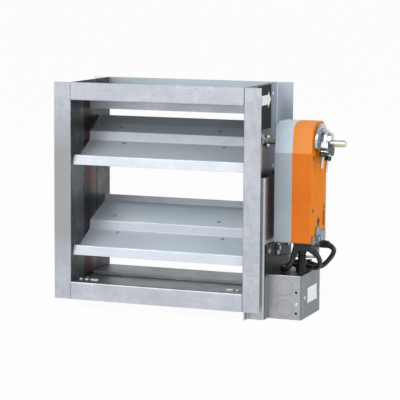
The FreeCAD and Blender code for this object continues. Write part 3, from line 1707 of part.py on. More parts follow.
def lead_boots():
    """Front boot, and the rear boot with a round outlet that passes below the strap's flange."""
    middle = (rear_boot_front + rear_boot_rear) / 2
    outlet = rod_x(rear_outlet_diameter / 2, face_x - rear_outlet_inset, face_x + rear_outlet_reach,
                   middle, actuator_bottom - rear_outlet_drop)
    rear = boot(rear_boot_inner, face_x, rear_boot_front, rear_boot_rear).fuse(outlet).removeSplitter()
    return group([boot(front_boot_inner, face_x, front_boot_front, front_boot_rear), rear])


def wire_splices():
    """Three twist-on splices standing on the floor of the box."""
    parts = []
    floor = box_bottom + box_sheet
    profile = [(0, 0), (splice_rim_radius, 0), (splice_body_radius, splice_rim_height),
               (splice_neck_radius, splice_neck_height), (splice_tip_radius, splice_height), (0, splice_height)]
    for k in range(3):
        start = V(plate_face + splice_pitch_x * (k + 1), box_front + splice_first_y + splice_pitch_y * k, floor)
        parts.append(revolve_about(profile, start, Z_AXIS))
    return group(parts)


def frame_nodes():
    """Sub-parts of the duct frame and of what is screwed to it."""
    return {
        "left_jamb": left_jamb(),
        "right_jamb": right_jamb(),
        "head_channel": head_channel(),
        "sill_channel": sill_channel(),
        "corner_cleats": corner_cleats(),
        "frame_rivets": frame_rivets(),
        "head_stop": head_stop(),
        "sill_stop": sill_stop(),
        "left_jamb_seal": left_jamb_seal(),
        "right_jamb_seal": right_jamb_seal(),
        "axle_bearings": axle_bearings(),
        "airflow_label": airflow_label(),
        "actuator_bracket": actuator_bracket(),
        "junction_box_plate": junction_box_plate(),
        "sheet_screws": sheet_screws(),
        "junction_box": junction_box(),
        "box_cover": box_cover(),
        "box_cover_screws": box_cover_screws(),
        "box_ground_screw": box_ground_screw(),
        "knockouts": knockouts(),
        "lead_connectors": lead_connectors(),
        "ribbed_sleeve": ribbed_sleeve(),
        "wire_splices": wire_splices(),
        "thermal_cutout": thermal_cutout(),
        "power_lead": lead(power_route, "power lead"),
        "open_switch_lead": lead(open_switch_route, "open switch lead"),
        "closed_switch_lead": lead(closed_switch_route, "closed switch lead"),
    }


def actuator_nodes():
    """Sub-parts of the actuator."""
    return {
        "actuator_base": actuator_base(),
        "actuator_cover": actuator_cover(),
        "actuator_screws": actuator_screws(),
        "lock_slider": lock_slider(),
        "anti_rotation_strap": anti_rotation_strap(),
        "lead_boots": lead_boots(),
        "motor_case": motor_case(),
        "motor_rotor": motor_rotor(),
        "circuit_board": circuit_board(),
        "gear_plates": gear_plates(),
        "gear_arbors": gear_arbors(),
        "first_reduction_gear": first_reduction_gear(),
        "second_reduction_gear": second_reduction_gear(),
        "spring_barrel": spring_barrel(),
        "return_spring": return_spring(),
        "limit_switches": limit_switches(),
        "output_hub": output_hub(),
        "output_gear": output_gear(),
        "clamp_jaw": clamp_jaw(),
        "clamp_u_bolt": clamp_u_bolt(),
        "clamp_nuts": clamp_nuts(),
    }


def blade_nodes():
    """Sub-parts of the blades, their axles and the linkage."""
    upper = saddle_centres_upper
    lower = saddle_centres_lower
    return {
        "upper_blade": blade(upper_profile(), upper_axle_z, upper),
        "drive_shaft": drive_shaft(),
        "upper_stub_axle": left_stub(upper_axle_z),
        "upper_axle_saddles": saddles(upper, upper_axle_z),
        "upper_saddle_rivets": saddle_rivets(upper, upper_axle_z),
        "drive_crank": crank(upper_axle_z),
        "lower_blade": blade(lower_profile(), lower_axle_z, lower),
        "lower_stub_axles": lower_stub_axles(),
        "lower_axle_saddles": saddles(lower, lower_axle_z),
        "lower_saddle_rivets": saddle_rivets(lower, lower_axle_z),
        "driven_crank": crank(lower_axle_z),
        "tie_bar": tie_bar(),
    }


os.makedirs("parts", exist_ok=True)
for name, shape in {**frame_nodes(), **actuator_nodes(), **blade_nodes()}.items():
    bad = [s for s in shape.Solids if not s.isValid() or s.Volume <= 0]
    if bad or not shape.Solids:
        print("CHECK", name, len(shape.Solids), [round(s.Volume, 2) for s in shape.Solids])
    shape.exportStep("parts/" + name + ".step")
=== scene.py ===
import math

import bmesh
import bpy
import numpy as np
from mathutils import Matrix, Vector


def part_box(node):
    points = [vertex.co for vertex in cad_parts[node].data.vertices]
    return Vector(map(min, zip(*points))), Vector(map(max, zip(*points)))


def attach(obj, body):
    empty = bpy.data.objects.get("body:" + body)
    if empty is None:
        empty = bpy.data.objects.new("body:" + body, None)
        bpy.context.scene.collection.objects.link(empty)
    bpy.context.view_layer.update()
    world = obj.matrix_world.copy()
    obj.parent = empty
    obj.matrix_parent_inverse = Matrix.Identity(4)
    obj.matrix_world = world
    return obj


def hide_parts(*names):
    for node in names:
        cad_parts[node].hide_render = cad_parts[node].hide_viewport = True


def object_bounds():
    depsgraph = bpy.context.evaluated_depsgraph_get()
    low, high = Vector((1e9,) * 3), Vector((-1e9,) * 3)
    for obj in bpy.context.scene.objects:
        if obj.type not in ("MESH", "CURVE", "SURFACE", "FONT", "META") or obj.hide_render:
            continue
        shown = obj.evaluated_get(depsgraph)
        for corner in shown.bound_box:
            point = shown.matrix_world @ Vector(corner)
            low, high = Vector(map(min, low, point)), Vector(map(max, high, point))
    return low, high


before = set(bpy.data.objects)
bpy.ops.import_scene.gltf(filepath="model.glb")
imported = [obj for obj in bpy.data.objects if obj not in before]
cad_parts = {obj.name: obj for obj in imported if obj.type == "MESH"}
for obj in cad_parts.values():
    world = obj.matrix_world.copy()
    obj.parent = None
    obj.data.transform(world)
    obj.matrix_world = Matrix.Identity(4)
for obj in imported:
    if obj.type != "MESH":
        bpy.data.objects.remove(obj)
cad_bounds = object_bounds()
scene = bpy.context.scene

mm = 0.001
white = (1.0, 1.0, 1.0, 1.0)
sharp_angle = math.radians(38)
ring_points = 48

# Photographer's place, line of sight and lens
camera_place = (1.1199, -2.7385, 0.3750)
camera_yaw = math.radians(20.815)
camera_pitch = math.radians(7.342)
camera_roll = math.radians(0.380)
camera_lens = 163.6

# Studio: half the floor's width, shares of light and the point that the lamps aim at
floor_half = 60.0
floor_glow = 0.96
world_light = 0.62
lamp_aim = (0.05, 0.08, -0.02)

# Places where the sheets change their tone, their painted shade and their painted light, each as the two
# ends of the change
tone_range = (0.38, 0.62)
jamb_side = (151.8 * mm, 152.4 * mm)
web_side = (153.0 * mm, 153.4 * mm)
web_depth = (115 * mm, 150 * mm)
rear_depth = (156 * mm, 161 * mm)
# Over these sides and heights the left jamb is darker
left_middle_side = (-150 * mm, -155 * mm)
left_middle_height = (70 * mm, 145 * mm)
# Heights over which the painted shade on the plate behind the box gives way to its pale colour
plate_shade_end = (-121 * mm, -128 * mm)

# Leads, with the points of their routes in metres
lead_diameter = 0.008
power_route = ((0.228, 0.052, -0.079), (0.223, 0.0515, -0.092), (0.2205, 0.0505, -0.1045),
               (0.2115, 0.0505, -0.1155), (0.202, 0.058, -0.1172), (0.199, 0.071, -0.1165),
               (0.202, 0.085, -0.114), (0.2145, 0.093, -0.112))
open_switch_route = ((0.246, 0.060, -0.079), (0.257, 0.063, -0.088), (0.2635, 0.067, -0.099),
                     (0.2615, 0.0725, -0.111), (0.251, 0.0775, -0.116), (0.2335, 0.080, -0.112))
closed_switch_route = ((0.252, 0.111, -0.0775), (0.266, 0.111, -0.080), (0.2775, 0.1105, -0.0905),
                       (0.255, 0.107, -0.1185), (0.244, 0.106, -0.1145), (0.2335, 0.106, -0.112))

# Strain reliefs on the leads and the ribbed sleeve beside them
relief_reach = 20.0 * mm
relief_flare = 1.9 * mm
relief_wall = 0.45 * mm
relief_groove = 0.35 * mm
relief_grooves = 6
sleeve_smooth = 6.0 * mm
sleeve_pitch = 3.2 * mm
sleeve_groove = 1.1 * mm

# Clamp on the shaft
clamp_tilt = math.radians(20.0)
u_bolt_half_width = 13.0 * mm
u_bolt_reach = 7.0 * mm
u_bolt_leg = 46.0 * mm
u_bolt_thread_length = 27.0 * mm
u_bolt_cone = 0.8 * mm
u_bolt_point = 0.6
thread_pitch = 0.9 * mm
thread_depth = 0.3 * mm
jaw_bottom = -18.0 * mm
nut_play = 0.05 * mm
nut_across = 11.0 * mm
nut_thickness = 6.0 * mm
nut_chamfer = 0.7 * mm
nut_corner_cut = 1.03
nut_thread_chamfer = 0.5 * mm
washer_radius = 7.5 * mm
washer_thickness = 1.6 * mm
washer_edge_width = 0.2 * mm
washer_edge_height = 0.25 * mm
mark_length = 2.2 * mm
mark_film = 0.25 * mm
mark_bulge = 0.35 * mm
ring_radius = 23.5 * mm
ring_flat = 16.0 * mm
ring_thickness = 2.0 * mm
ring_width = 1.5 * mm
ring_gap = 0.3 * mm
tooth_height = 1.3 * mm
tooth_count = 34
tooth_points = 6

# Collars round the punched holes near the front edge of the sill
hole_line = 28.0 * mm
hole_sides = (147.0 * mm, 136.0 * mm)
slot_side = 122.0 * mm
slot_half = 3.8 * mm
hole_radius = 3.2 * mm
collar_wall = 0.9 * mm
collar_rise = 1.8 * mm

# Airflow arrow on the black label
arrow_tip = 131.0 * mm
arrow_neck = 117.5 * mm
arrow_tail = 66.0 * mm
arrow_notch = 5.0 * mm
arrow_height = 155.5 * mm
arrow_head_half = 14.0 * mm
arrow_shaft_half = 8.0 * mm
arrow_film = 0.12 * mm

# Dashes beside the slider's slot: the front end and the number of each column
dash_columns = ((60.0 * mm, 6), (72.0 * mm, 4), (99.0 * mm, 6))
dash_foot = -4.0 * mm
dash_step = 7.0 * mm
dash_length = 4.0 * mm
dash_width = 0.9 * mm
dash_film = 0.05 * mm

# Bands of painted shade round the slider's slot and the override socket
rim_slot_place = (111.55 * mm, -35.8 * mm)
rim_slot_radius = 2.75 * mm
rim_slot_half = 9.1 * mm
rim_socket_radius = 5.1 * mm
rim_width = 1.8 * mm
rim_film = 0.06 * mm

# Blank paper sticker on the cover of the junction box
sticker_front = 64.2 * mm
sticker_rear = 114.9 * mm
sticker_low = -172.0 * mm
sticker_high = -146.5 * mm
sticker_thickness = 0.1 * mm
sticker_glue = 0.05 * mm
sticker_curl = 1.1 * mm


# Meshes from grids of points

def grid_faces(rows, columns, wrap_rows, wrap_columns):
    """Quads between neighbouring grid points (i, j), (i, j + 1), (i + 1, j + 1), (i + 1, j)."""
    i, j = np.meshgrid(np.arange(rows if wrap_rows else rows - 1),
                       np.arange(columns if wrap_columns else columns - 1), indexing="ij")
    below = (i + 1) % rows
    beside = (j + 1) % columns
    corners = [i * columns + j, i * columns + beside, below * columns + beside, below * columns + j]
    return np.stack(corners, axis=-1).reshape(-1, 4).tolist()


def skin(name, grids, wrap_rows=False, wrap_columns=True, caps=True):
    """One object from one or more point grids of shape (rows, columns, 3).

    It is closed where it wraps or is capped."""
    points = []
    faces = []
    count = 0
    for grid in grids:
        rows, columns = grid.shape[:2]
        own = grid_faces(rows, columns, wrap_rows, wrap_columns)
        if caps and not wrap_rows:
            own.append(list(range(columns)))
            own.append(list(range((rows - 1) * columns, rows * columns)))
        faces += [[k + count for k in face] for face in own]
        points.append(grid.reshape(-1, 3))
        count += rows * columns
    mesh = bpy.data.meshes.new(name)
    mesh.from_pydata(np.concatenate(points).tolist(), [], faces)
    face_outwards(mesh)
    mesh.polygons.foreach_set("use_smooth", np.ones(len(mesh.polygons), bool))
    mesh.set_sharp_from_angle(angle=sharp_angle)
    piece = bpy.data.objects.new(name, mesh)
    scene.collection.objects.link(piece)
    return piece


def face_outwards(mesh):
    shell = bmesh.new()
    shell.from_mesh(mesh)
    bmesh.ops.recalc_face_normals(shell, faces=shell.faces)
    shell.to_mesh(mesh)
    shell.free()


def place(piece, body, slot, material, *nodes):
    """Paint a piece, let it ride on its body and stand for the solids it replaces."""
    piece.data.materials.append(material)
    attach(piece, body)
    if nodes:
        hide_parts(*nodes)
    return piece


def tube(line, radii, columns, reference):
    """Rings round a line: each lies square to the line, radius given per ring or per ring and angle."""
    tangent = np.gradient(line, axis=0)
    tangent /= np.linalg.norm(tangent, axis=1, keepdims=True)
    side = np.cross(tangent, reference)
    side /= np.linalg.norm(side, axis=1, keepdims=True)
    up = np.cross(side, tangent)
    angle = round_angles(columns)[:, None]
    ring = np.cos(angle) * side[:, None, :] + np.sin(angle) * up[:, None, :]
    radii = np.asarray(radii).reshape(len(line), -1)
    return line[:, None, :] + radii[:, :, None] * ring


def round_angles(count):
    return np.linspace(0, 2 * np.pi, count, endpoint=False)


def distance_along(line):
    steps = np.linalg.norm(np.diff(line, axis=0), axis=1)
    return np.concatenate([[0.0], np.cumsum(steps)])


def middle_of(node):
    low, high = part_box(node)
    return (low + high) / 2


# Shader nodes

def linear(code):
    """Linear colour from an sRGB hex code."""
    channels = [int(code[k:k + 2], 16) / 255 for k in (1, 3, 5)]
    return tuple(c / 12.92 if c <= 0.04045 else ((c + 0.055) / 1.055) ** 2.4 for c in channels) + (1.0,)


def add(tree, kind, inputs=None, **settings):
    """Add a shader node: its own settings, and a value or a link for each named input."""
    node = tree.nodes.new(kind)
    for key, value in settings.items():
        setattr(node, key, value)
    for key, value in (inputs or {}).items():
        if isinstance(value, bpy.types.NodeSocket):
            tree.links.new(value, node.inputs[key])
        else:
            node.inputs[key].default_value = value
    return node


def noise(tree, vector, size, detail=3.0, rough=0.5):
    settings = {"Scale": 1 / size, "Detail": detail, "Roughness": rough}
    return add(tree, "ShaderNodeTexNoise", {"Vector": vector, **settings}).outputs


def mix(tree, share, first, second):
    return add(tree, "ShaderNodeMix", {0: share, 6: first, 7: second}, data_type="RGBA").outputs[2]


def ramp(tree, value, low, high, start=0.0, end=1.0):
    """Value taken from low..high to start..end, held at both ends."""
    ends = {"From Min": low, "From Max": high, "To Min": start, "To Max": end}
    return add(tree, "ShaderNodeMapRange", {"Value": value, **ends}).outputs[0]


def math_node(tree, operation, *values):
    return add(tree, "ShaderNodeMath", dict(enumerate(values)), operation=operation).outputs[0]


def axes(tree, vector):
    return add(tree, "ShaderNodeSeparateXYZ", {"Vector": vector}).outputs


def looks_along(tree, coordinates, axis, low, high):
    """0 where the face's own normal measures low along the axis, 1 where it measures high."""
    return ramp(tree, axes(tree, coordinates["Normal"])[axis], low, high)


# Materials

def blank_material(name):
    material = bpy.data.materials.new(name)
    material.use_nodes = True
    material.node_tree.nodes.clear()
    return material, material.node_tree


def surface_material(name):
    material, tree = blank_material(name)
    return material, tree, add(tree, "ShaderNodeTexCoord").outputs


def close_material(tree, shader):
    add(tree, "ShaderNodeOutputMaterial", {"Surface": shader.outputs[0]})


def close_surface(tree, inputs, height=None, depth=0.0, strength=0.0):
    """Principled surface as the material's output, with a bump of this depth where a height is given."""
    shader = add(tree, "ShaderNodeBsdfPrincipled", inputs)
    if height:
        relief = add(tree, "ShaderNodeBump", {"Height": height, "Distance": depth, "Strength": strength})
        tree.links.new(relief.outputs["Normal"], shader.inputs["Normal"])
    close_material(tree, shader)


def rolling_lines(tree, where, stretch, width):
    run = add(tree, "ShaderNodeMapping", {"Vector": where, "Scale": stretch})
    return noise(tree, run.outputs["Vector"], width)["Fac"]


def thin_scratches(tree, where, clouds):
    """Wandering hair lines: edges of big warped cells, kept only where the clouds are bright."""
    warp = noise(tree, where, 45 * mm)["Color"]
    bend = (0.07, 0.07, 0.07)
    bent = add(tree, "ShaderNodeVectorMath", {0: warp, 1: bend, 2: where}, operation="MULTIPLY_ADD")
    edges = add(tree, "ShaderNodeTexVoronoi", {"Vector": bent.outputs[0], "Scale": 1 / (70 * mm)},
                feature="DISTANCE_TO_EDGE")
    line = ramp(tree, edges.outputs["Distance"], 0.002, 0.007, 1.0, 0.0)
    return math_node(tree, "MULTIPLY", line, ramp(tree, clouds, 0.49, 0.55, 0.0, 0.8))


def zinc_tone(tree, where, spot, clouds, spangle):
    """Tone of hot-dip zinc: a tenth from its crystals, six from uneven clouds and three from rolling lines.

    The rolling direction is upright on the jambs and level on everything between them."""
    crystals = add(tree, "ShaderNodeTexVoronoi", {"Vector": where, "Scale": 1 / spangle})
    cell = add(tree, "ShaderNodeSeparateColor", {"Color": crystals.outputs["Color"]})
    on_jamb = ramp(tree, math_node(tree, "ABSOLUTE", spot["X"]), *jamb_side)
    level = rolling_lines(tree, where, (0.03, 1.0, 1.0), 1.6 * mm)
    upright = rolling_lines(tree, where, (1.0, 1.0, 0.03), 1.6 * mm)
    lines = add(tree, "ShaderNodeMix", {0: on_jamb, 2: level, 3: upright})
    tone = math_node(tree, "MULTIPLY", cell.outputs["Red"], 0.10)
    tone = math_node(tree, "MULTIPLY_ADD", clouds, 0.6, tone)
    return math_node(tree, "MULTIPLY_ADD", lines.outputs[0], 0.3, tone)


def painted_shade_colour(tree, spot, shade, fade, outer):
    """Painted shade of the faces that look across the duct, by depth and, on the webs, by side."""
    turn = ramp(tree, spot["Y"], *fade[:2])
    if fade[2:]:
        turn = math_node(tree, "MULTIPLY", turn, ramp(tree, spot["Y"], *fade[2:], 1.0, 0.0))
    colour = mix(tree, turn, linear(shade[0]), linear(shade[1]))
    if outer:
        web = mix(tree, ramp(tree, spot["Y"], *web_depth), linear(outer[0]), linear(outer[1]))
        outside = ramp(tree, math_node(tree, "ABSOLUTE", spot["X"]), *web_side)
        colour = mix(tree, outside, colour, web)
    return colour


def galvanised_sheet(name, bright, dull, roughness, metallic, spangle=8 * mm, shade=None, outer=None,
                     rear=None, scratch=None, left_middle_tone=None, fade=(10 * mm, 150 * mm)):
    """Hot-dip galvanised steel sheet: clouds of uneven zinc, faint crystals, rolling lines along the sheet.

    Shade names two colours of painted shade on the faces that look across the duct, and fade the depths at
    which the first turns into the second, and back again if two more are given. Outer holds the painted
    shade of the webs' outer faces before and behind, rear the paler painted light on the rear flange's
    front face, scratch the colour of a few hair lines, stain the darker colour of the left jamb's middle
    heights."""
    material, tree, coordinates = surface_material(name)
    where = coordinates["Object"]
    spot = axes(tree, where)
    clouds = noise(tree, where, 70 * mm, 4.0, 0.6)["Fac"]
    tone = zinc_tone(tree, where, spot, clouds, spangle)
    colour = mix(tree, ramp(tree, tone, *tone_range), linear(dull), linear(bright))
    # Darker over the middle heights of the left jamb.
    if left_middle_tone:
        left = ramp(tree, spot["X"], *left_middle_side)
        middle = ramp(tree, math_node(tree, "ABSOLUTE", spot["Z"]), *left_middle_height, 1.0, 0.0)
        colour = mix(tree, math_node(tree, "MULTIPLY", left, middle), colour, linear(left_middle_tone))
    if scratch:
        colour = mix(tree, thin_scratches(tree, where, clouds), colour, linear(scratch))
    # Painted light: the rear flange's front face takes a paler colour.
    if rear:
        forward = looks_along(tree, coordinates, "Y", -0.3, -0.8)
        behind = math_node(tree, "MULTIPLY", ramp(tree, spot["Y"], *rear_depth), forward)
        colour = mix(tree, behind, colour, linear(rear))
    # Painted shade: faces that look across the duct take the shade colours, a little mottled by the zinc's
    # tone.
    if shade:
        facing = math_node(tree, "ABSOLUTE", axes(tree, coordinates["Normal"])["Y"])
        painted_shade = painted_shade_colour(tree, spot, shade, fade, outer)
        mottle = mix(tree, ramp(tree, tone, *tone_range, 0.0, 0.12), painted_shade, linear(bright))
        colour = mix(tree, ramp(tree, facing, 0.3, 0.8, 1.0, 0.0), colour, mottle)
    gloss = ramp(tree, tone, *tone_range, roughness + 0.05, roughness - 0.05)
    close_surface(tree, {"Base Color": colour, "Metallic": metallic, "Roughness": gloss},
                  clouds, 0.8 * mm, 0.35)
    return material


def plated_metal(name, colour, tint, roughness, patch, metallic=1.0, grain_size=0.4 * mm, painted_dark_side=None):
    """Electroplated steel: even and glossy, with a faint change of tone and fine polishing grain.

    The painted_dark_side argument names the colour of faces that look outwards along +X: a painted dark
    reflection on that side."""
    material, tree, coordinates = surface_material(name)
    clouds = noise(tree, coordinates["Object"], patch)["Fac"]
    grain = noise(tree, coordinates["Object"], grain_size, 2.0)["Fac"]
    base = mix(tree, ramp(tree, clouds, 0.35, 0.7), linear(colour), linear(tint))
    # Painted reflection: faces along +X take a dark colour.
    if painted_dark_side:
        base = mix(tree, looks_along(tree, coordinates, "X", 0.6, 0.9), base, linear(painted_dark_side))
    gloss = ramp(tree, grain, 0.3, 0.7, roughness * 0.8, roughness * 1.3)
    close_surface(tree, {"Base Color": base, "Metallic": metallic, "Roughness": gloss},
                  grain, 0.02 * mm, 0.3)
    return material


def box_plate_steel():
    """Steel plate behind the junction box: painted shade blackens it above the box's top, beside the leads,
    and keeps its gloss low; below that it is pale.
    """
    material, tree, coordinates = surface_material("plate_steel_painted_shade")
    clouds = noise(tree, coordinates["Object"], 20 * mm, 4.0, 0.6)["Fac"]
    # Painted shade: near-black tones where the plate lies in shade beside the leads.
    shade_tone = mix(tree, ramp(tree, clouds, 0.38, 0.66), linear("#1F2225"), linear("#3A3E43"))
    below = ramp(tree, axes(tree, coordinates["Object"])["Z"], *plate_shade_end)
    colour = mix(tree, below, shade_tone, linear("#8A9092"))
    close_surface(tree, {"Base Color": colour, "Metallic": 0.1, "Roughness": 0.45,
                         "Specular IOR Level": 0.1})
    return material


def moulded_plastic(name, colour, shade, roughness, grain_size=0.5 * mm, grain_depth=0.03 * mm, sheen=0.35,
                    dust_and_top_light=None, outer=None):
    """Injection-moulded plastic with a spark-eroded grain, slightly uneven in tone and gloss.

    The dust argument names the paler colour of faces that lean upwards, painted light from above; outer
    that of faces along +X, painted light on that side."""
    material, tree, coordinates = surface_material(name)
    clouds = noise(tree, coordinates["Object"], 25 * mm)["Fac"]
    grain = noise(tree, coordinates["Object"], grain_size, 3.0, 0.65)["Fac"]
    base = mix(tree, ramp(tree, clouds, 0.38, 0.66), linear(colour), linear(shade))
    # Painted light: faces that lean upwards are paler, as if lit from above.
    if dust_and_top_light:
        base = mix(tree, looks_along(tree, coordinates, "Z", 0.03, 0.13), base, linear(dust_and_top_light))
    # Painted light: faces along +X take their own colour.
    if outer:
        base = mix(tree, looks_along(tree, coordinates, "X", 0.7, 0.95), base, linear(outer))
    gloss = ramp(tree, clouds, 0.3, 0.7, roughness - 0.04, roughness + 0.06)
    close_surface(tree, {"Base Color": base, "Roughness": gloss, "Specular IOR Level": sheen},
                  grain, grain_depth, 0.6)
    return material


def rolled_stainless():
    """Thin cold-rolled stainless strip of the jamb seals: fine vertical rolling lines, painted shade that
    keeps it almost black, reddish patches of painted reflection of the orange housing.
    """
    material, tree, coordinates = surface_material("rolled_stainless")
    where = coordinates["Object"]
    clouds = noise(tree, where, 38 * mm, 4.0, 0.6)["Fac"]
    lines = rolling_lines(tree, where, (1.0, 1.0, 0.02), 1.2 * mm)
    # Painted shade: the strip's colours are near black.
    strip = mix(tree, ramp(tree, lines, 0.35, 0.65), linear("#101211"), linear("#26292A"))
    # Painted reflection: reddish patches where the orange housing would show.
    colour = mix(tree, ramp(tree, clouds, 0.46, 0.60, 0.0, 0.8), strip, linear("#4C1812"))
    close_surface(tree, {"Base Color": colour, "Metallic": 0.85, "Roughness": 0.34},
                  clouds, 0.4 * mm, 0.3)
    return material


def printed_film():
    """Black printed vinyl label: satin, with a fine dusting that greys it a little."""
    material, tree, coordinates = surface_material("printed_vinyl_black")
    dust_and_top_light = noise(tree, coordinates["Object"], 9 * mm, 6.0, 0.7)["Fac"]
    colour = mix(tree, ramp(tree, dust_and_top_light, 0.4, 0.75, 0.0, 0.5), linear("#15181C"), linear("#272B30"))
    close_surface(tree, {"Base Color": colour, "Roughness": 0.55, "Specular IOR Level": 0.15})
    return material


def sticker_paper(name, colour):
    """Coated paper: faint fibres 0.8 mm long in tone and relief."""
    material, tree, coordinates = surface_material(name)
    fibre = noise(tree, coordinates["Object"], 0.8 * mm, 4.0, 0.7)["Fac"]
    base = mix(tree, fibre, linear(colour), linear("#FFFFFF"))
    close_surface(tree, {"Base Color": base, "Roughness": 0.55}, fibre, 0.02 * mm, 0.3)
    return material


def lead_jacket():
    """Black PVC jacket over stranded wires: satin, with a faint lay of the strands."""
    material, tree, coordinates = surface_material("pvc_jacket_black")
    rub = noise(tree, coordinates["Object"], 6 * mm, 4.0, 0.65)["Fac"]
    colour = mix(tree, ramp(tree, rub, 0.4, 0.7), linear("#16181B"), linear("#2A2D31"))
    gloss = ramp(tree, rub, 0.0, 1.0, 0.30, 0.55)
    close_surface(tree, {"Base Color": colour, "Roughness": gloss}, rub, 0.25 * mm, 0.4)
    return material


# Painted shade on the jambs' inner faces and on the front of the webs' outer faces, painted light on the
# rear flanges' front faces
jamb_zinc = galvanised_sheet("galvanised_jamb_sheet", "#CFD2DA", "#B4B8C0", 0.44, 0.75,
                             shade=("#384140", "#282C2D"), outer=("#746C6D", "#A6AAB2"), rear="#D8E6EE",
                             left_middle_tone="#A6A8AA")
# Painted shade on the inner faces of the head and sill, painted light on the rear flanges' front faces
frame_zinc = galvanised_sheet("galvanised_header_sheet", "#CDD0D8", "#BABEC7", 0.44, 0.75,
                              shade=("#5D6668", "#7C8485"), rear="#D8E6EE", scratch="#F6F8FC")
# Painted light and shade on the blades' faces that look across the duct: paler at the front, greyer towards
# the rear
blade_zinc = galvanised_sheet("galvanised_blade_sheet", "#D6DBE3", "#CAD0D9", 0.40, 0.35,
                              shade=("#E0EDF6", "#D2DADE"))
# Painted reflection of the orange housing, with painted shade: a dark red band on the bracket's faces
# across the duct, from 23 to 80 mm deep
bracket_zinc = galvanised_sheet("galvanised_bracket_sheet", "#D2D8DA", "#BCC3C5", 0.34, 0.5,
                                shade=("#A2A2A6", "#5C1A14"), fade=(23 * mm, 34 * mm, 50 * mm, 80 * mm))
# Painted shade: the strap is a darker copy of the galvanised sheet
strap_zinc = galvanised_sheet("galvanised_strap_sheet", "#8D9298", "#70757B", 0.30, 0.9, spangle=5 * mm)
# Painted shade: the box's top and sides are darker than its front
box_zinc = galvanised_sheet("galvanised_box_sheet", "#B2B3B5", "#A2A4A6", 0.38, 0.75, spangle=3 * mm,
                            shade=("#3E4246", "#34383C"))
# Painted shade: the cover on the box's side is a darker copy of the box sheet
cover_zinc = galvanised_sheet("galvanised_cover_sheet", "#777C80", "#676C70", 0.34, 0.8, spangle=4 * mm)
shaded_plate_steel = box_plate_steel()
bright_zinc = plated_metal("bright_zinc_plate", "#DFE2E4", "#C9CED2", 0.26, 5 * mm)
dull_zinc = plated_metal("dull_zinc_plate", "#A6AFB6", "#939CA3", 0.45, 5 * mm, metallic=0.5)
screw_zinc = plated_metal("screw_zinc_plate", "#AEB2B5", "#8E9397", 0.34, 3 * mm)
worn_zinc = plated_metal("worn_zinc_plate", "#8E8880", "#6A655F", 0.40, 3 * mm)
pale_zinc = plated_metal("pale_yellow_zinc_plate", "#D6D8C5", "#C4C5AB", 0.34, 8 * mm)
bright_nickel = plated_metal("bright_nickel_plate", "#C9CCCF", "#A9ADB1", 0.20, 9 * mm)
# Painted reflection: the jaw's faces along +X are dark.
jaw_nickel = plated_metal("nickel_plated_jaw", "#B4B8BB", "#84888C", 0.36, 7 * mm, painted_dark_side="#34363A")
dark_plate = plated_metal("black_zinc_plate", "#34363A", "#4A4D52", 0.34, 6 * mm)
bearing_bronze = plated_metal("sintered_bronze", "#A48659", "#8A6C42", 0.42, 3 * mm, grain_size=0.5 * mm)
gear_steel = plated_metal("hobbed_steel", "#9C9EA0", "#84878A", 0.33, 6 * mm)
motor_paint = plated_metal("drawn_steel_can", "#5A5E63", "#4C5055", 0.40, 10 * mm)
cast_zinc = plated_metal("die_cast_zinc", "#5E6265", "#474B4E", 0.42, 4 * mm, grain_size=0.7 * mm)
# Painted light: the housings' upward faces are paler.
grey_housing = moulded_plastic("moulded_polycarbonate_grey", "#B4BEC5", "#ABB5BC", 0.42, dust_and_top_light="#D3E0EA")
# Painted light on the orange cover's faces along +X, and on its upward faces.
orange_housing = moulded_plastic("moulded_polycarbonate_orange", "#EC7F2C", "#E67826", 0.55, sheen=0.08,
                                 dust_and_top_light="#F79A50", outer="#EE8408")
black_moulding = moulded_plastic("moulded_nylon_black", "#1D1F22", "#26292C", 0.45)
splice_plastic = moulded_plastic("moulded_splice_red", "#B02A1E", "#9C2218", 0.35)
board_lacquer = moulded_plastic("lacquered_circuit_board", "#1B5A36", "#174D2F", 0.30, grain_size=1.5 * mm)
green_paint = moulded_plastic("thread_lock_green", "#2E9C72", "#278A64", 0.30)
strip_steel = rolled_stainless()
label_film = printed_film()
label_white = sticker_paper("printed_white", "#ECEEF0")
sticker_white = sticker_paper("blank_sticker_paper", "#F2F2F0")
jacket = lead_jacket()

node_materials = {
    jamb_zinc: ("left_jamb", "right_jamb", "corner_cleats"),
    frame_zinc: ("head_channel", "sill_channel", "head_stop", "sill_stop"),
    blade_zinc: ("upper_blade", "lower_blade", "upper_axle_saddles", "lower_axle_saddles"),
    bracket_zinc: ("actuator_bracket",),
    strap_zinc: ("anti_rotation_strap",),
    shaded_plate_steel: ("junction_box_plate",),
    box_zinc: ("junction_box", "knockouts"),
    cover_zinc: ("box_cover",),
    bright_zinc: ("frame_rivets", "box_cover_screws", "box_ground_screw", "drive_crank"),
    screw_zinc: ("sheet_screws",),
    worn_zinc: ("actuator_screws",),
    dull_zinc: ("upper_saddle_rivets", "lower_saddle_rivets"),
    pale_zinc: ("drive_shaft", "upper_stub_axle", "lower_stub_axles", "driven_crank", "tie_bar"),
    bright_nickel: ("output_hub", "clamp_u_bolt"),
    jaw_nickel: ("clamp_jaw",),
    dark_plate: ("clamp_nuts", "motor_rotor"),
    bearing_bronze: ("axle_bearings",),
    gear_steel: ("output_gear", "first_reduction_gear", "second_reduction_gear", "gear_plates",
                 "gear_arbors", "spring_barrel", "return_spring"),
    motor_paint: ("motor_case",),
    cast_zinc: ("lead_connectors",),
    grey_housing: ("actuator_base",),
    orange_housing: ("actuator_cover",),
    black_moulding: ("lead_boots", "lock_slider", "limit_switches", "thermal_cutout", "ribbed_sleeve"),
    splice_plastic: ("wire_splices",),
    board_lacquer: ("circuit_board",),
    strip_steel: ("left_jamb_seal", "right_jamb_seal"),
    label_film: ("airflow_label",),
    jacket: ("power_lead", "open_switch_lead", "closed_switch_lead"),
}


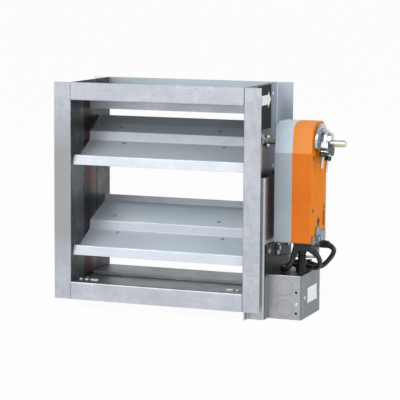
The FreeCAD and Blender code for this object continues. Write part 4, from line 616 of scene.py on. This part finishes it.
def paint_solids():
    for material, names in node_materials.items():
        for name in names:
            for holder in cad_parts[name].material_slots:
                holder.material = material


# Leads

def lead(name, route, node):
    """Free lead: a smooth spline with the route's points as its control points."""
    line = bpy.data.curves.new(name, "CURVE")
    line.dimensions = "3D"
    spline = line.splines.new("NURBS")
    spline.points.add(len(route) - 1)
    spline.points.foreach_set("co", np.c_[np.array(route), np.ones(len(route))].ravel())
    spline.order_u = 3
    spline.use_endpoint_u = True
    spline.resolution_u = 12
    line.bevel_depth = lead_diameter / 2
    line.bevel_resolution = 6
    line.use_fill_caps = True
    piece = bpy.data.objects.new(name, line)
    scene.collection.objects.link(piece)
    place(piece, "frame", "lead_rubber", jacket, node)
    return piece


def centre_line(piece):
    """Points along a lead's own spline, read from it with no thickness."""
    bare = piece.data.copy()
    bare.bevel_depth = 0
    holder = bpy.data.objects.new("bare_line", bare)
    mesh = bpy.data.meshes.new_from_object(holder)
    points = np.empty(len(mesh.vertices) * 3)
    mesh.vertices.foreach_get("co", points)
    bpy.data.objects.remove(holder)
    bpy.data.meshes.remove(mesh)
    return points.reshape(-1, 3)


def strain_relief(name, piece):
    """Tapered sleeve on the start of a lead: its radius falls along it, less a cosine of the distance."""
    line = centre_line(piece)
    way = distance_along(line)
    spots = np.linspace(0, relief_reach, 61)
    fine = np.stack([np.interp(spots, way, line[:, k]) for k in range(3)], axis=1)
    share = spots / relief_reach
    ripple = relief_groove * (1 - np.cos(2 * np.pi * relief_grooves * share)) / 2
    radii = lead_diameter / 2 + relief_flare * (1 - share) + relief_wall - ripple
    sleeve = skin(name, [tube(fine, radii, 24, (0.0, 1.0, 0.0))])
    place(sleeve, "frame", "lead_rubber", black_moulding)


def build_leads():
    power = lead("power_flex", power_route, "power_lead")
    opened = lead("open_switch_flex", open_switch_route, "open_switch_lead")
    closed = lead("closed_switch_flex", closed_switch_route, "closed_switch_lead")
    strain_relief("power_strain_relief", power)
    strain_relief("open_switch_strain_relief", opened)
    strain_relief("closed_switch_strain_relief", closed)


def ribbed_sleeve():
    """Corrugated sleeve round a vertical axis, smooth at its top.

    Below that the radius swings between crest and root as a cosine of the height over the pitch."""
    low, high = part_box("ribbed_sleeve")
    x = (low.x + high.x) / 2
    y = (low.y + high.y) / 2
    crest = (high.x - low.x) / 2
    box_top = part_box("junction_box")[1].z
    height = np.linspace(high.z, box_top, 180)
    down = high.z - height - sleeve_smooth
    swing = np.where(down > 0, (1 - np.cos(2 * np.pi * down / sleeve_pitch)) / 2, 0.0)
    radius = crest - sleeve_groove * swing
    line = np.stack([np.full_like(height, x), np.full_like(height, y), height], axis=1)
    sleeve = skin("corrugated_sleeve", [tube(line, radius, 40, (1.0, 0.0, 0.0))])
    place(sleeve, "frame", "lead_rubber", black_moulding, "ribbed_sleeve")


# Clamp on the shaft

def clamp_frame():
    """Middle of the U-bolt's wire on the shaft's axis, the clamp's side and rise, the wire's radius."""
    low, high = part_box("clamp_u_bolt")
    axle = middle_of("drive_shaft")
    middle = np.array([(low.x + high.x) / 2, axle.y, axle.z])
    side = np.array([0.0, math.cos(clamp_tilt), -math.sin(clamp_tilt)])
    rise = np.array([0.0, math.sin(clamp_tilt), math.cos(clamp_tilt)])
    return middle, side, rise, (high.x - low.x) / 2


def u_bolt():
    """Round wire bent over the shaft, with a helical thread on its legs.

    The line runs up one leg, round a half circle and down the other; on the thread the radius is the wire's
    less a cosine of the distance along the leg over the pitch plus the angle round it."""
    middle, side, rise, radius = clamp_frame()
    w = u_bolt_half_width
    climb = np.linspace(-u_bolt_leg, u_bolt_reach, 340)
    turn = np.linspace(np.pi, 0, 50)[1:-1]
    across = np.concatenate([np.full_like(climb, -w), w * np.cos(turn), np.full_like(climb, w)])
    height = np.concatenate([climb, u_bolt_reach + w * np.sin(turn), climb[::-1]])
    line = middle + across[:, None] * side + height[:, None] * rise
    way = distance_along(line)
    columns = 20
    from_end = np.minimum(way, way[-1] - way)
    threaded = from_end < u_bolt_thread_length
    phase = 2 * np.pi * way[:, None] / thread_pitch + round_angles(columns)
    cut = np.where(threaded[:, None], thread_depth * (1 - np.cos(phase)) / 2, 0.0)
    point = np.clip(from_end / u_bolt_cone, u_bolt_point, 1.0)
    radii = (radius - cut) * point[:, None]
    wire = skin("u_bolt_wire", [tube(line, radii, columns, (1.0, 0.0, 0.0))])
    place(wire, "upper_drive", "clamp_chrome", bright_zinc, "clamp_u_bolt")


def ring_stack(start, axis, side, profile, across_flats=0.0):
    """Closed ring round an axis through the profile's (radius, height) points.

    Where a radius is None the ring is a hexagon: half its width over the cosine of the angle off a flat."""
    angle = round_angles(ring_points)
    fold = (angle + math.pi / 6) % (math.pi / 3) - math.pi / 6
    hexagon = across_flats / 2 / np.cos(fold)
    other = np.cross(axis, side)
    rays = np.cos(angle)[:, None] * side + np.sin(angle)[:, None] * other
    rows = []
    for radius, height in profile:
        reach = hexagon if radius is None else np.full(ring_points, radius)
        rows.append(start + axis * height + reach[:, None] * rays)
    return np.stack(rows)


def clamp_nuts():
    """Washer and chamfered hex nut under the jaw on each leg of the U-bolt."""
    middle, side, rise, radius = clamp_frame()
    bore = radius + nut_play
    rim = washer_radius - washer_edge_width
    washer = [(bore, 0.0), (rim, 0.0), (washer_radius, washer_edge_height),
              (washer_radius, washer_thickness - washer_edge_height), (rim, washer_thickness),
              (bore, washer_thickness)]
    corner = nut_across / 2 * nut_corner_cut
    nut = [(bore, 0.0), (corner, 0.0), (None, nut_chamfer), (None, nut_thickness - nut_chamfer),
           (corner, nut_thickness), (bore + nut_thread_chamfer, nut_thickness),
           (bore, nut_thickness - nut_thread_chamfer)]
    washers = []
    nuts = []
    for sign in (-1, 1):
        start = middle + side * sign * u_bolt_half_width + rise * jaw_bottom
        washers.append(ring_stack(start, -rise, side, washer))
        nuts.append(ring_stack(start - rise * washer_thickness, -rise, side, nut, nut_across))
    hardware = skin("clamp_nuts_chamfered", nuts, wrap_rows=True)
    place(hardware, "upper_drive", "clamp_dark", dark_plate, "clamp_nuts")
    discs = skin("clamp_washers", washers, wrap_rows=True)
    place(discs, "upper_drive", "clamp_chrome", bright_zinc)


def paint_mark():
    """Band of green thread lock on the leg nearest the front, just below its nut.

    Its radius is the wire's and a film, plus a sine of the way along the band."""
    middle, side, rise, radius = clamp_frame()
    start = middle - side * u_bolt_half_width + rise * jaw_bottom
    way = np.linspace(0, 1, 12)
    heights = -(washer_thickness + nut_thickness) - way * mark_length
    bulge = radius + mark_film + mark_bulge * np.sin(np.pi * way)
    line = start + heights[:, None] * rise
    band = skin("thread_lock_mark", [tube(line, bulge, 24, (1.0, 0.0, 0.0))])
    place(band, "upper_drive", "clamp_chrome", green_paint)


def ring_serration():
    """Teeth on the hub's front ring, above its flat: radius is a triangle wave of the angle."""
    middle, side, rise, _ = clamp_frame()
    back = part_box("clamp_jaw")[0].x - ring_gap - ring_thickness
    front = back + ring_thickness
    low = math.asin(ring_flat / ring_radius)
    points = tooth_count * tooth_points + 1
    angle = np.linspace(-low, np.pi + low, points)
    wave = 1 - 2 * np.abs(np.linspace(0, tooth_count, points) % 1 - 0.5)
    rays = np.cos(angle)[:, None] * side + np.sin(angle)[:, None] * rise
    inner = np.full_like(angle, ring_radius - ring_width)
    outer = ring_radius + tooth_height * wave
    columns = []
    for x, radii in ((back, inner), (back, outer), (front, outer), (front, inner)):
        columns.append(np.array([x, middle[1], middle[2]]) + radii[:, None] * rays)
    rim = skin("ring_serration", [np.stack(columns, axis=1)])
    place(rim, "upper_drive", "clamp_chrome", bright_nickel)


# Rings round openings

def opening_ring(centre, radius, half, along, level, normal, section):
    """Section of (reach, height) points swept round an opening's outline.

    The outline is a circle round the centre whose halves are moved apart by half along one of its two axes.
    Reach widens it, and height lifts it from the level along the normal."""
    angle = round_angles(ring_points)
    rays = np.stack([np.cos(angle), np.sin(angle)], axis=1)
    columns = []
    for reach, height in section:
        outline = np.array(centre) + (radius + reach) * rays
        outline[:, along] += half * np.sign(rays[:, along])
        columns.append(np.insert(outline, normal, level + height, axis=1))
    return np.stack(columns)


def hole_collars():
    """Burred collars round the sill's punched holes: a narrowing section swept round each outline."""
    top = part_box("sill_channel")[1].z
    section = ((0.0, 0.0), (collar_wall, 0.0), (collar_wall * 0.7, collar_rise),
               (collar_wall * 0.1, collar_rise))
    grids = []
    for sign in (-1, 1):
        for side, half in ((hole_sides[0], 0.0), (hole_sides[1], 0.0), (slot_side, slot_half)):
            grids.append(opening_ring((sign * side, hole_line), hole_radius, half, 0, top, 2, section))
    collars = skin("hole_collars", grids, wrap_rows=True)
    place(collars, "frame", "galvanized_frame", bright_zinc)


def painted_shade_rims():
    """Black bands round the slider's slot and the override socket, painted shade that widens their dark
    recesses: a film swept round each.
    """
    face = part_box("actuator_cover")[1].x
    motor = middle_of("motor_rotor")
    section = ((0.0, 0.0), (rim_width, 0.0), (rim_width, rim_film), (0.0, rim_film))
    grids = [opening_ring(rim_slot_place, rim_slot_radius, rim_slot_half, 1, face, 0, section),
             opening_ring((motor.y, motor.z), rim_socket_radius, 0.0, 1, face, 0, section)]
    rims = skin("painted_shade_rims", grids, wrap_rows=True)
    place(rims, "frame", "housing_orange", black_moulding)


# Flat pieces

def flat_piece(name, outlines, x0, x1):
    """Thin plates in the Y-Z plane: each outline swept from x0 to x1."""
    grids = []
    for outline in outlines:
        ring = np.array(outline)
        grids.append(np.stack([np.insert(ring, 0, x, axis=1) for x in (x0, x1)]))
    return skin(name, grids)


def airflow_arrow():
    """White arrow of the airflow label, pointing to the rear of the duct."""
    y, z = arrow_neck, arrow_height
    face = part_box("airflow_label")[1].x
    outline = [(arrow_tail, z - arrow_shaft_half), (y, z - arrow_shaft_half), (y, z - arrow_head_half),
               (arrow_tip, z), (y, z + arrow_head_half), (y, z + arrow_shaft_half),
               (arrow_tail, z + arrow_shaft_half), (arrow_tail + arrow_notch, z)]
    arrow = flat_piece("airflow_arrow", [outline], face, face + arrow_film)
    place(arrow, "frame", "label_black", label_white)


def blank_sticker():
    """Sheet of paper on the box cover.

    Its lower rear corner lifts by the fifth power of the way rearwards times the way down."""
    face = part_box("box_cover")[1].x
    u, v = np.meshgrid(np.linspace(0, 1, 26), np.linspace(0, 1, 16), indexing="ij")
    lift = sticker_glue + sticker_curl * (u * (1 - v)) ** 5
    y = sticker_front + (sticker_rear - sticker_front) * u
    z = sticker_low + (sticker_high - sticker_low) * v
    front = np.stack([face + lift + sticker_thickness, y, z], axis=-1)
    paper = skin("blank_sticker", [front], wrap_columns=False, caps=False)
    thick = paper.modifiers.new("paper", "SOLIDIFY")
    thick.thickness = sticker_thickness
    thick.offset = -1 if paper.data.polygons[0].normal.x > 0 else 1
    place(paper, "frame", "box_steel", sticker_white)


def slot_marks():
    """Short dark dashes printed beside the slider's slot, as a plain scale."""
    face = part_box("actuator_cover")[1].x
    marks = []
    for y, count in dash_columns:
        for k in range(count):
            low = dash_foot + k * dash_step
            high = low + dash_width
            marks.append([(y, low), (y + dash_length, low), (y + dash_length, high), (y, high)])
    dashes = flat_piece("slot_scale_marks", marks, face, face + dash_film)
    place(dashes, "frame", "housing_orange", black_moulding)


# Studio

def studio_floor():
    """Pale floor, kept almost white for the eye and for reflections but still holding a soft shadow."""
    bottom = cad_bounds[0][2]
    ends = (-floor_half, floor_half)
    grid = np.array([[(x, y, bottom) for x in ends] for y in ends])
    floor = skin("studio_floor", [grid], wrap_columns=False, caps=False)
    material, tree = blank_material("studio_floor_paper")
    path = add(tree, "ShaderNodeLightPath").outputs
    seen = math_node(tree, "MAXIMUM", path["Is Camera Ray"], path["Is Glossy Ray"])
    seen = math_node(tree, "MAXIMUM", seen, path["Is Transmission Ray"])
    share = math_node(tree, "MULTIPLY", seen, floor_glow)
    paper = add(tree, "ShaderNodeBsdfDiffuse", {"Color": linear("#E8E8E8")})
    glow = add(tree, "ShaderNodeEmission", {"Color": white, "Strength": 1.0})
    both = add(tree, "ShaderNodeMixShader", {0: share, 1: paper.outputs[0], 2: glow.outputs[0]})
    close_material(tree, both)
    floor.data.materials.append(material)


def studio_world():
    """White all round at eye level, greyer overhead; white for the eye and for reflections."""
    world = bpy.data.worlds.new("studio_world")
    scene.world = world
    world.use_nodes = True
    tree = world.node_tree
    tree.nodes.clear()
    direction = axes(tree, add(tree, "ShaderNodeTexCoord").outputs["Generated"])
    height = add(tree, "ShaderNodeMapRange", {"Value": direction["Z"], "From Min": 0.30, "From Max": 1.0},
                 interpolation_type="SMOOTHSTEP")
    sky = mix(tree, height.outputs[0], white, linear("#B9C3CC"))
    path = add(tree, "ShaderNodeLightPath").outputs
    reflected = math_node(tree, "MAXIMUM", path["Is Glossy Ray"], path["Is Transmission Ray"])
    level = ramp(tree, reflected, 0.0, 1.0, world_light, 1.0)
    around = add(tree, "ShaderNodeBackground", {"Color": sky, "Strength": level})
    plain = add(tree, "ShaderNodeBackground", {"Color": white, "Strength": 1.0})
    both = add(tree, "ShaderNodeMixShader", {0: path["Is Camera Ray"], 1: around.outputs[0],
                                             2: plain.outputs[0]})
    add(tree, "ShaderNodeOutputWorld", {"Surface": both.outputs[0]})


def softbox(name, place_at, size, power):
    lamp = bpy.data.lights.new(name, "AREA")
    lamp.shape = "RECTANGLE"
    lamp.size, lamp.size_y = size
    lamp.energy = power
    box = bpy.data.objects.new(name, lamp)
    box.location = place_at
    aim = Vector(lamp_aim) - Vector(place_at)
    box.rotation_euler = aim.to_track_quat("-Z", "Y").to_euler()
    scene.collection.objects.link(box)


def studio_lamps():
    softbox("key_softbox", place_at=(-1.3, -2.2, 2.2), size=(1.6, 1.2), power=42.0)
    softbox("side_softbox", place_at=(2.4, -0.9, 1.3), size=(1.2, 1.2), power=26.0)


def aim_camera():
    """Camera axes: yaw turns the line of sight about Z, pitch lowers it, roll turns the picture."""
    yaw, pitch, roll = camera_yaw, camera_pitch, camera_roll
    level = math.cos(pitch)
    forward = Vector((-math.sin(yaw) * level, math.cos(yaw) * level, -math.sin(pitch)))
    right = Vector((math.cos(yaw), math.sin(yaw), 0.0))
    up = right.cross(forward)
    rolled_right = math.cos(roll) * right + math.sin(roll) * up
    rolled_up = math.cos(roll) * up - math.sin(roll) * right
    camera = bpy.data.objects.new("camera", bpy.data.cameras.new("camera"))
    camera.data.sensor_width = 36.0
    camera.data.lens = camera_lens
    camera.data.clip_end = 200.0
    turn = Matrix((rolled_right, rolled_up, -forward)).transposed().to_4x4()
    camera.matrix_world = Matrix.Translation(camera_place) @ turn
    scene.collection.objects.link(camera)
    scene.camera = camera


scene.view_settings.view_transform = "Standard"
aim_camera()
paint_solids()
build_leads()
ribbed_sleeve()
u_bolt()
clamp_nuts()
paint_mark()
ring_serration()
hole_collars()
airflow_arrow()
blank_sticker()
slot_marks()
painted_shade_rims()
studio_floor()
studio_world()
studio_lamps()
